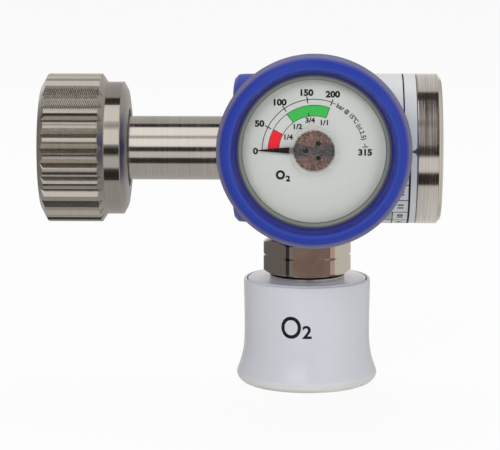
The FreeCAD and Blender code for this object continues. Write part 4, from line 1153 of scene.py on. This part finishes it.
def makeSleeve():
    height, rimBore, mouth, lip, bore, land = pick(sleeve, "height rimBore mouth lip bore land")
    landTop, landLow, landBottom, shoulder = pick(sleeve, "landTop landLow landBottom shoulder")
    rimIn, rimOut, rimEdge = pick(sleeve, "rimIn rimOut rimEdge")
    profile = [(height - 0.25, rimBore, 0.1), (height, rimIn, 0.15), (height, rimOut, 0.3),
               (height - 0.3, rimEdge, 0.3)]
    profile += [(a, r, 0) for a, r in sleeveSide]
    profile += [(0, mouth + lip, 0.2), (lip, mouth, 0.2), (landBottom, mouth, 0), (landBottom, landLow, 0.1),
                (sleeve["ball"], land, 0), (landTop, land, 0.1), (landTop, bore, 0), (shoulder, bore, 0.1),
                (shoulder, rimBore, 0)]
    piece = lathe("couplerSleeve", profile, "z", "sleeve", 192, 36.0)
    settle(piece, "white_plastic", "coupler_sleeve", body="sleeve")


def sleeveRadius(z):
    for (z1, r1), (z0, r0) in zip(sleeveSide, sleeveSide[1:]):
        if z0 <= z <= z1:
            return r0 + (r1 - r0) * (z - z0) / max(1e-6, z1 - z0)
    return sleeve["waist"]


def sleeveLetters(name, text, left, right, bottom, top, bold):
    mesh = letterMesh(name, text, top - bottom, bold)
    low = [min(v.co[k] for v in mesh.vertices) for k in (0, 1)]
    high = [max(v.co[k] for v in mesh.vertices) for k in (0, 1)]

    def place(point):
        level = bottom + (top - bottom) * (point.y - low[1]) / (high[1] - low[1])
        radius = sleeveRadius(level)
        angle = (left + (right - left) * (point.x - low[0]) / (high[0] - low[0])) / radius
        out = radius + 0.012 + (point.z + 0.02) * 0.5
        return Vector((out * math.sin(angle), -out * math.cos(angle), level))

    return placeLetters(name, mesh, place, 0.4)


def makeSleevePrint():
    made = [sleeveLetters(name, *row) for name, row in sleeveMarks.items()]
    settle(joinPieces("sleevePrint", made, "inkBlack"), "pointer_black", body="sleeve")


makeFitting()
makeWasher()
makeTopDisc()
makeSleeve()
makeSleevePrint()
print("fitting and coupler made")


# Carried-over CAD nodes keep their shape and take a finish

kept = {
    "rubber": ["inlet_seal_ring", "end_cap_seal", "piston_seal", "piston_stem_seal", "outlet_seal",
               "check_valve_seal", "probe_seal"],
    "steel": ["nut_retaining_ring", "filter_clip", "main_spring", "sleeve_spring", "check_valve_spring",
              "sleeve_stop_ring", "locking_ball_1", "locking_ball_2", "locking_ball_3"],
    "brass": ["piston", "seat_holder", "gauge_socket", "check_valve_poppet", "movement_frame", "sector_gear",
              "pointer_arbor", "movement_link"],
    "body": ["regulator_body"], "coupler": ["coupler_body"], "bezel": ["dial_spacer"],
    "bronze": ["bourdon_tube"], "sinter": ["inlet_filter"], "seat": ["valve_seat"]}
for finish, nodes in kept.items():
    for node in nodes:
        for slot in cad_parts[node].material_slots:
            slot.material = finishes[finish]
print("CAD nodes finished")


# Coil springs are copied from their CAD nodes: node, joint, axis, whether the upper end stands still, travel in
# mm

springs = {"mainSpring": ("main_spring", "piston_slide", 0, False, 1.2),
           "sleeveSpring": ("sleeve_spring", "sleeve_slide", 2, True, 4.0),
           "checkValveSpring": ("check_valve_spring", "valve_lift", 2, True, 3.0)}


def makeSpring(name, node, joint, axis, upperStill, travel):
    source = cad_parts[node]
    mesh = source.data.copy()
    mesh.transform(source.matrix_world)
    piece = bpy.data.objects.new(name, mesh)
    scene.collection.objects.link(piece)
    settle(piece, "spring_steel", node)
    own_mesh(piece)


for name, row in springs.items():
    makeSpring(name, *row)
print("springs made")


# Stage, light and camera

dark, dim = 0.035, 0.05
studio = {  # the mirrored light's level by its lift in degrees, 0 towards the camera, and some tints
    "nutSide": [(-180, 0.48), (-100, 0.40), (-53, 0.40), (-51, dark), (-31, dark), (-28, 0.62), (-8, 0.62),
                (-6, dark), (9, dark), (12, 1.0), (38, 1.0), (42, 0.42), (49, 0.42), (53, 1.0), (84, 0.98),
                (87, dark), (102, dark), (105, 0.40), (120, 0.40), (164, 0.48), (171, 0.95), (180, 1.0)],
    "capSide": [(-180, 0.68), (-100, 0.66), (-53, 0.64), (-50, dark), (-32, dark), (-29, 0.74), (-7, 0.74),
                (-4, 0.03), (10, dim), (24, 0.07), (36, 0.12), (48, 0.17), (60, 0.12), (74, dim), (90, dim),
                (101, dim), (105, 0.6), (120, 0.66), (164, 0.68), (171, 0.95), (180, 1.0)],
    "brightFrom": 0.25, "brightTint": (1.0, 0.97, 0.93), "dimTint": (1.0, 0.88, 0.8),
    "ahead": (0.165, 0.09, 0.063), "flank": (0.5, 0.485, 0.47), "left": (0.225, 0.205, 0.188),
    "right": (0.64, 0.62, 0.55), "plain": 0.38}
lamps = {  # place in m, size in m, power in W
    "keyLamp": ((-0.35, -0.9, 0.6), (0.7, 0.5), 4.1),
    "fillLamp": ((0.55, -0.85, 0.3), (0.6, 0.6), 2.1),
    "topLamp": ((0.0, 0.4, 0.9), (0.8, 0.6), 5.0)}
lampAim = (0, 0, 0.06)
camera = {"place": (-1.0, -720.0, 161.4), "tilt": 0.156, "turn": 0.02291, "focusPixels": 2383.24,
          "width": 500, "sensor": 36, "farEnd": 20}


def makeStage(size=6.0, drop=0.0002, glow=0.93):
    mesh = bpy.data.meshes.new("studioFloor")
    corners = [(-size, -size, 0), (size, -size, 0), (size, size, 0), (-size, size, 0)]
    mesh.from_pydata(corners, [], [(0, 1, 2, 3)])
    floor = bpy.data.objects.new("studioFloor", mesh)
    scene.collection.objects.link(floor)
    floor.location.z = -drop
    fin = Finish("floorWhite", Base_Color=(0.8, 0.8, 0.8), Roughness=0.9)
    seen = fin.node("ShaderNodeLightPath", output="Is Camera Ray") * glow
    shine = fin.node("ShaderNodeEmission")
    both = fin.node("ShaderNodeMixShader", None, {0: seen, 1: fin.surface, 2: shine})
    mesh.materials.append(fin.done(both))
    floor.visible_glossy = False


def makeWorld():
    world = bpy.data.worlds.new("studio")
    scene.world = world
    world.use_nodes = True
    sky = Nodes(world.node_tree)
    x, y, z = sky.split(sky.node("ShaderNodeTexCoord", output="Generated"))
    lift = z.math("ARCTAN2", y * -1.0) / (2 * math.pi) + 0.5

    def bands(levels):
        stops = []
        for degrees, level in levels:
            tint = studio["brightTint" if level > studio["brightFrom"] else "dimTint"]
            stops.append(((degrees + 180) / 360, tone(tint, level)))
        return sky.node("ShaderNodeValToRGB", {"stops": stops}, {0: lift})

    light = sky.mix(x.over(0.012, 40.0), bands(studio["nutSide"]), bands(studio["capSide"]))
    ahead = x.over(0.13, 30.0) * x.under(0.28, 30.0) * y.under(-0.8, 10.0)
    for share, side in ((ahead, "ahead"), (x.over(0.28, 12.0), "flank"), (x.under(-0.45, 8.0), "left"),
                        (x.over(0.6, 8.0), "right")):
        light = sky.mix(share, light, studio[side])
    mirror = sky.node("ShaderNodeBackground", None, {0: light})
    plain = sky.node("ShaderNodeBackground", None, {0: (1, 1, 1), 1: studio["plain"]})
    white = sky.node("ShaderNodeBackground", None, {0: (1, 1, 1)})
    path = sky.node("ShaderNodeLightPath")
    lit = sky.node("ShaderNodeMixShader", None, {0: path.other("Is Glossy Ray"), 1: plain, 2: mirror})
    whole = sky.node("ShaderNodeMixShader", None, {0: path.other("Is Camera Ray"), 1: lit, 2: white})
    sky.node("ShaderNodeOutputWorld", None, {0: whole})


def makeLamp(name, place, size, power):
    lamp = bpy.data.lights.new(name, "AREA")
    lamp.shape = "RECTANGLE"
    lamp.size, lamp.size_y = size
    lamp.energy = power
    holder = bpy.data.objects.new(name, lamp)
    scene.collection.objects.link(holder)
    holder.location = place
    holder.rotation_euler = (Vector(lampAim) - Vector(place)).to_track_quat("-Z", "Y").to_euler()
    holder.visible_glossy = False


def makeCamera():
    data = bpy.data.cameras.new("camera")
    data.sensor_width = camera["sensor"]
    data.lens = camera["focusPixels"] / camera["width"] * camera["sensor"]
    data.clip_end = camera["farEnd"]
    holder = bpy.data.objects.new("camera", data)
    scene.collection.objects.link(holder)
    holder.location = Vector(camera["place"]) * mm
    holder.rotation_euler = (math.pi / 2 - camera["tilt"], 0, camera["turn"])
    scene.camera = holder


makeStage()
makeWorld()
for name, row in lamps.items():
    makeLamp(name, *row)
makeCamera()
scene.view_settings.view_transform = "Standard"
print("stage, light and camera made")
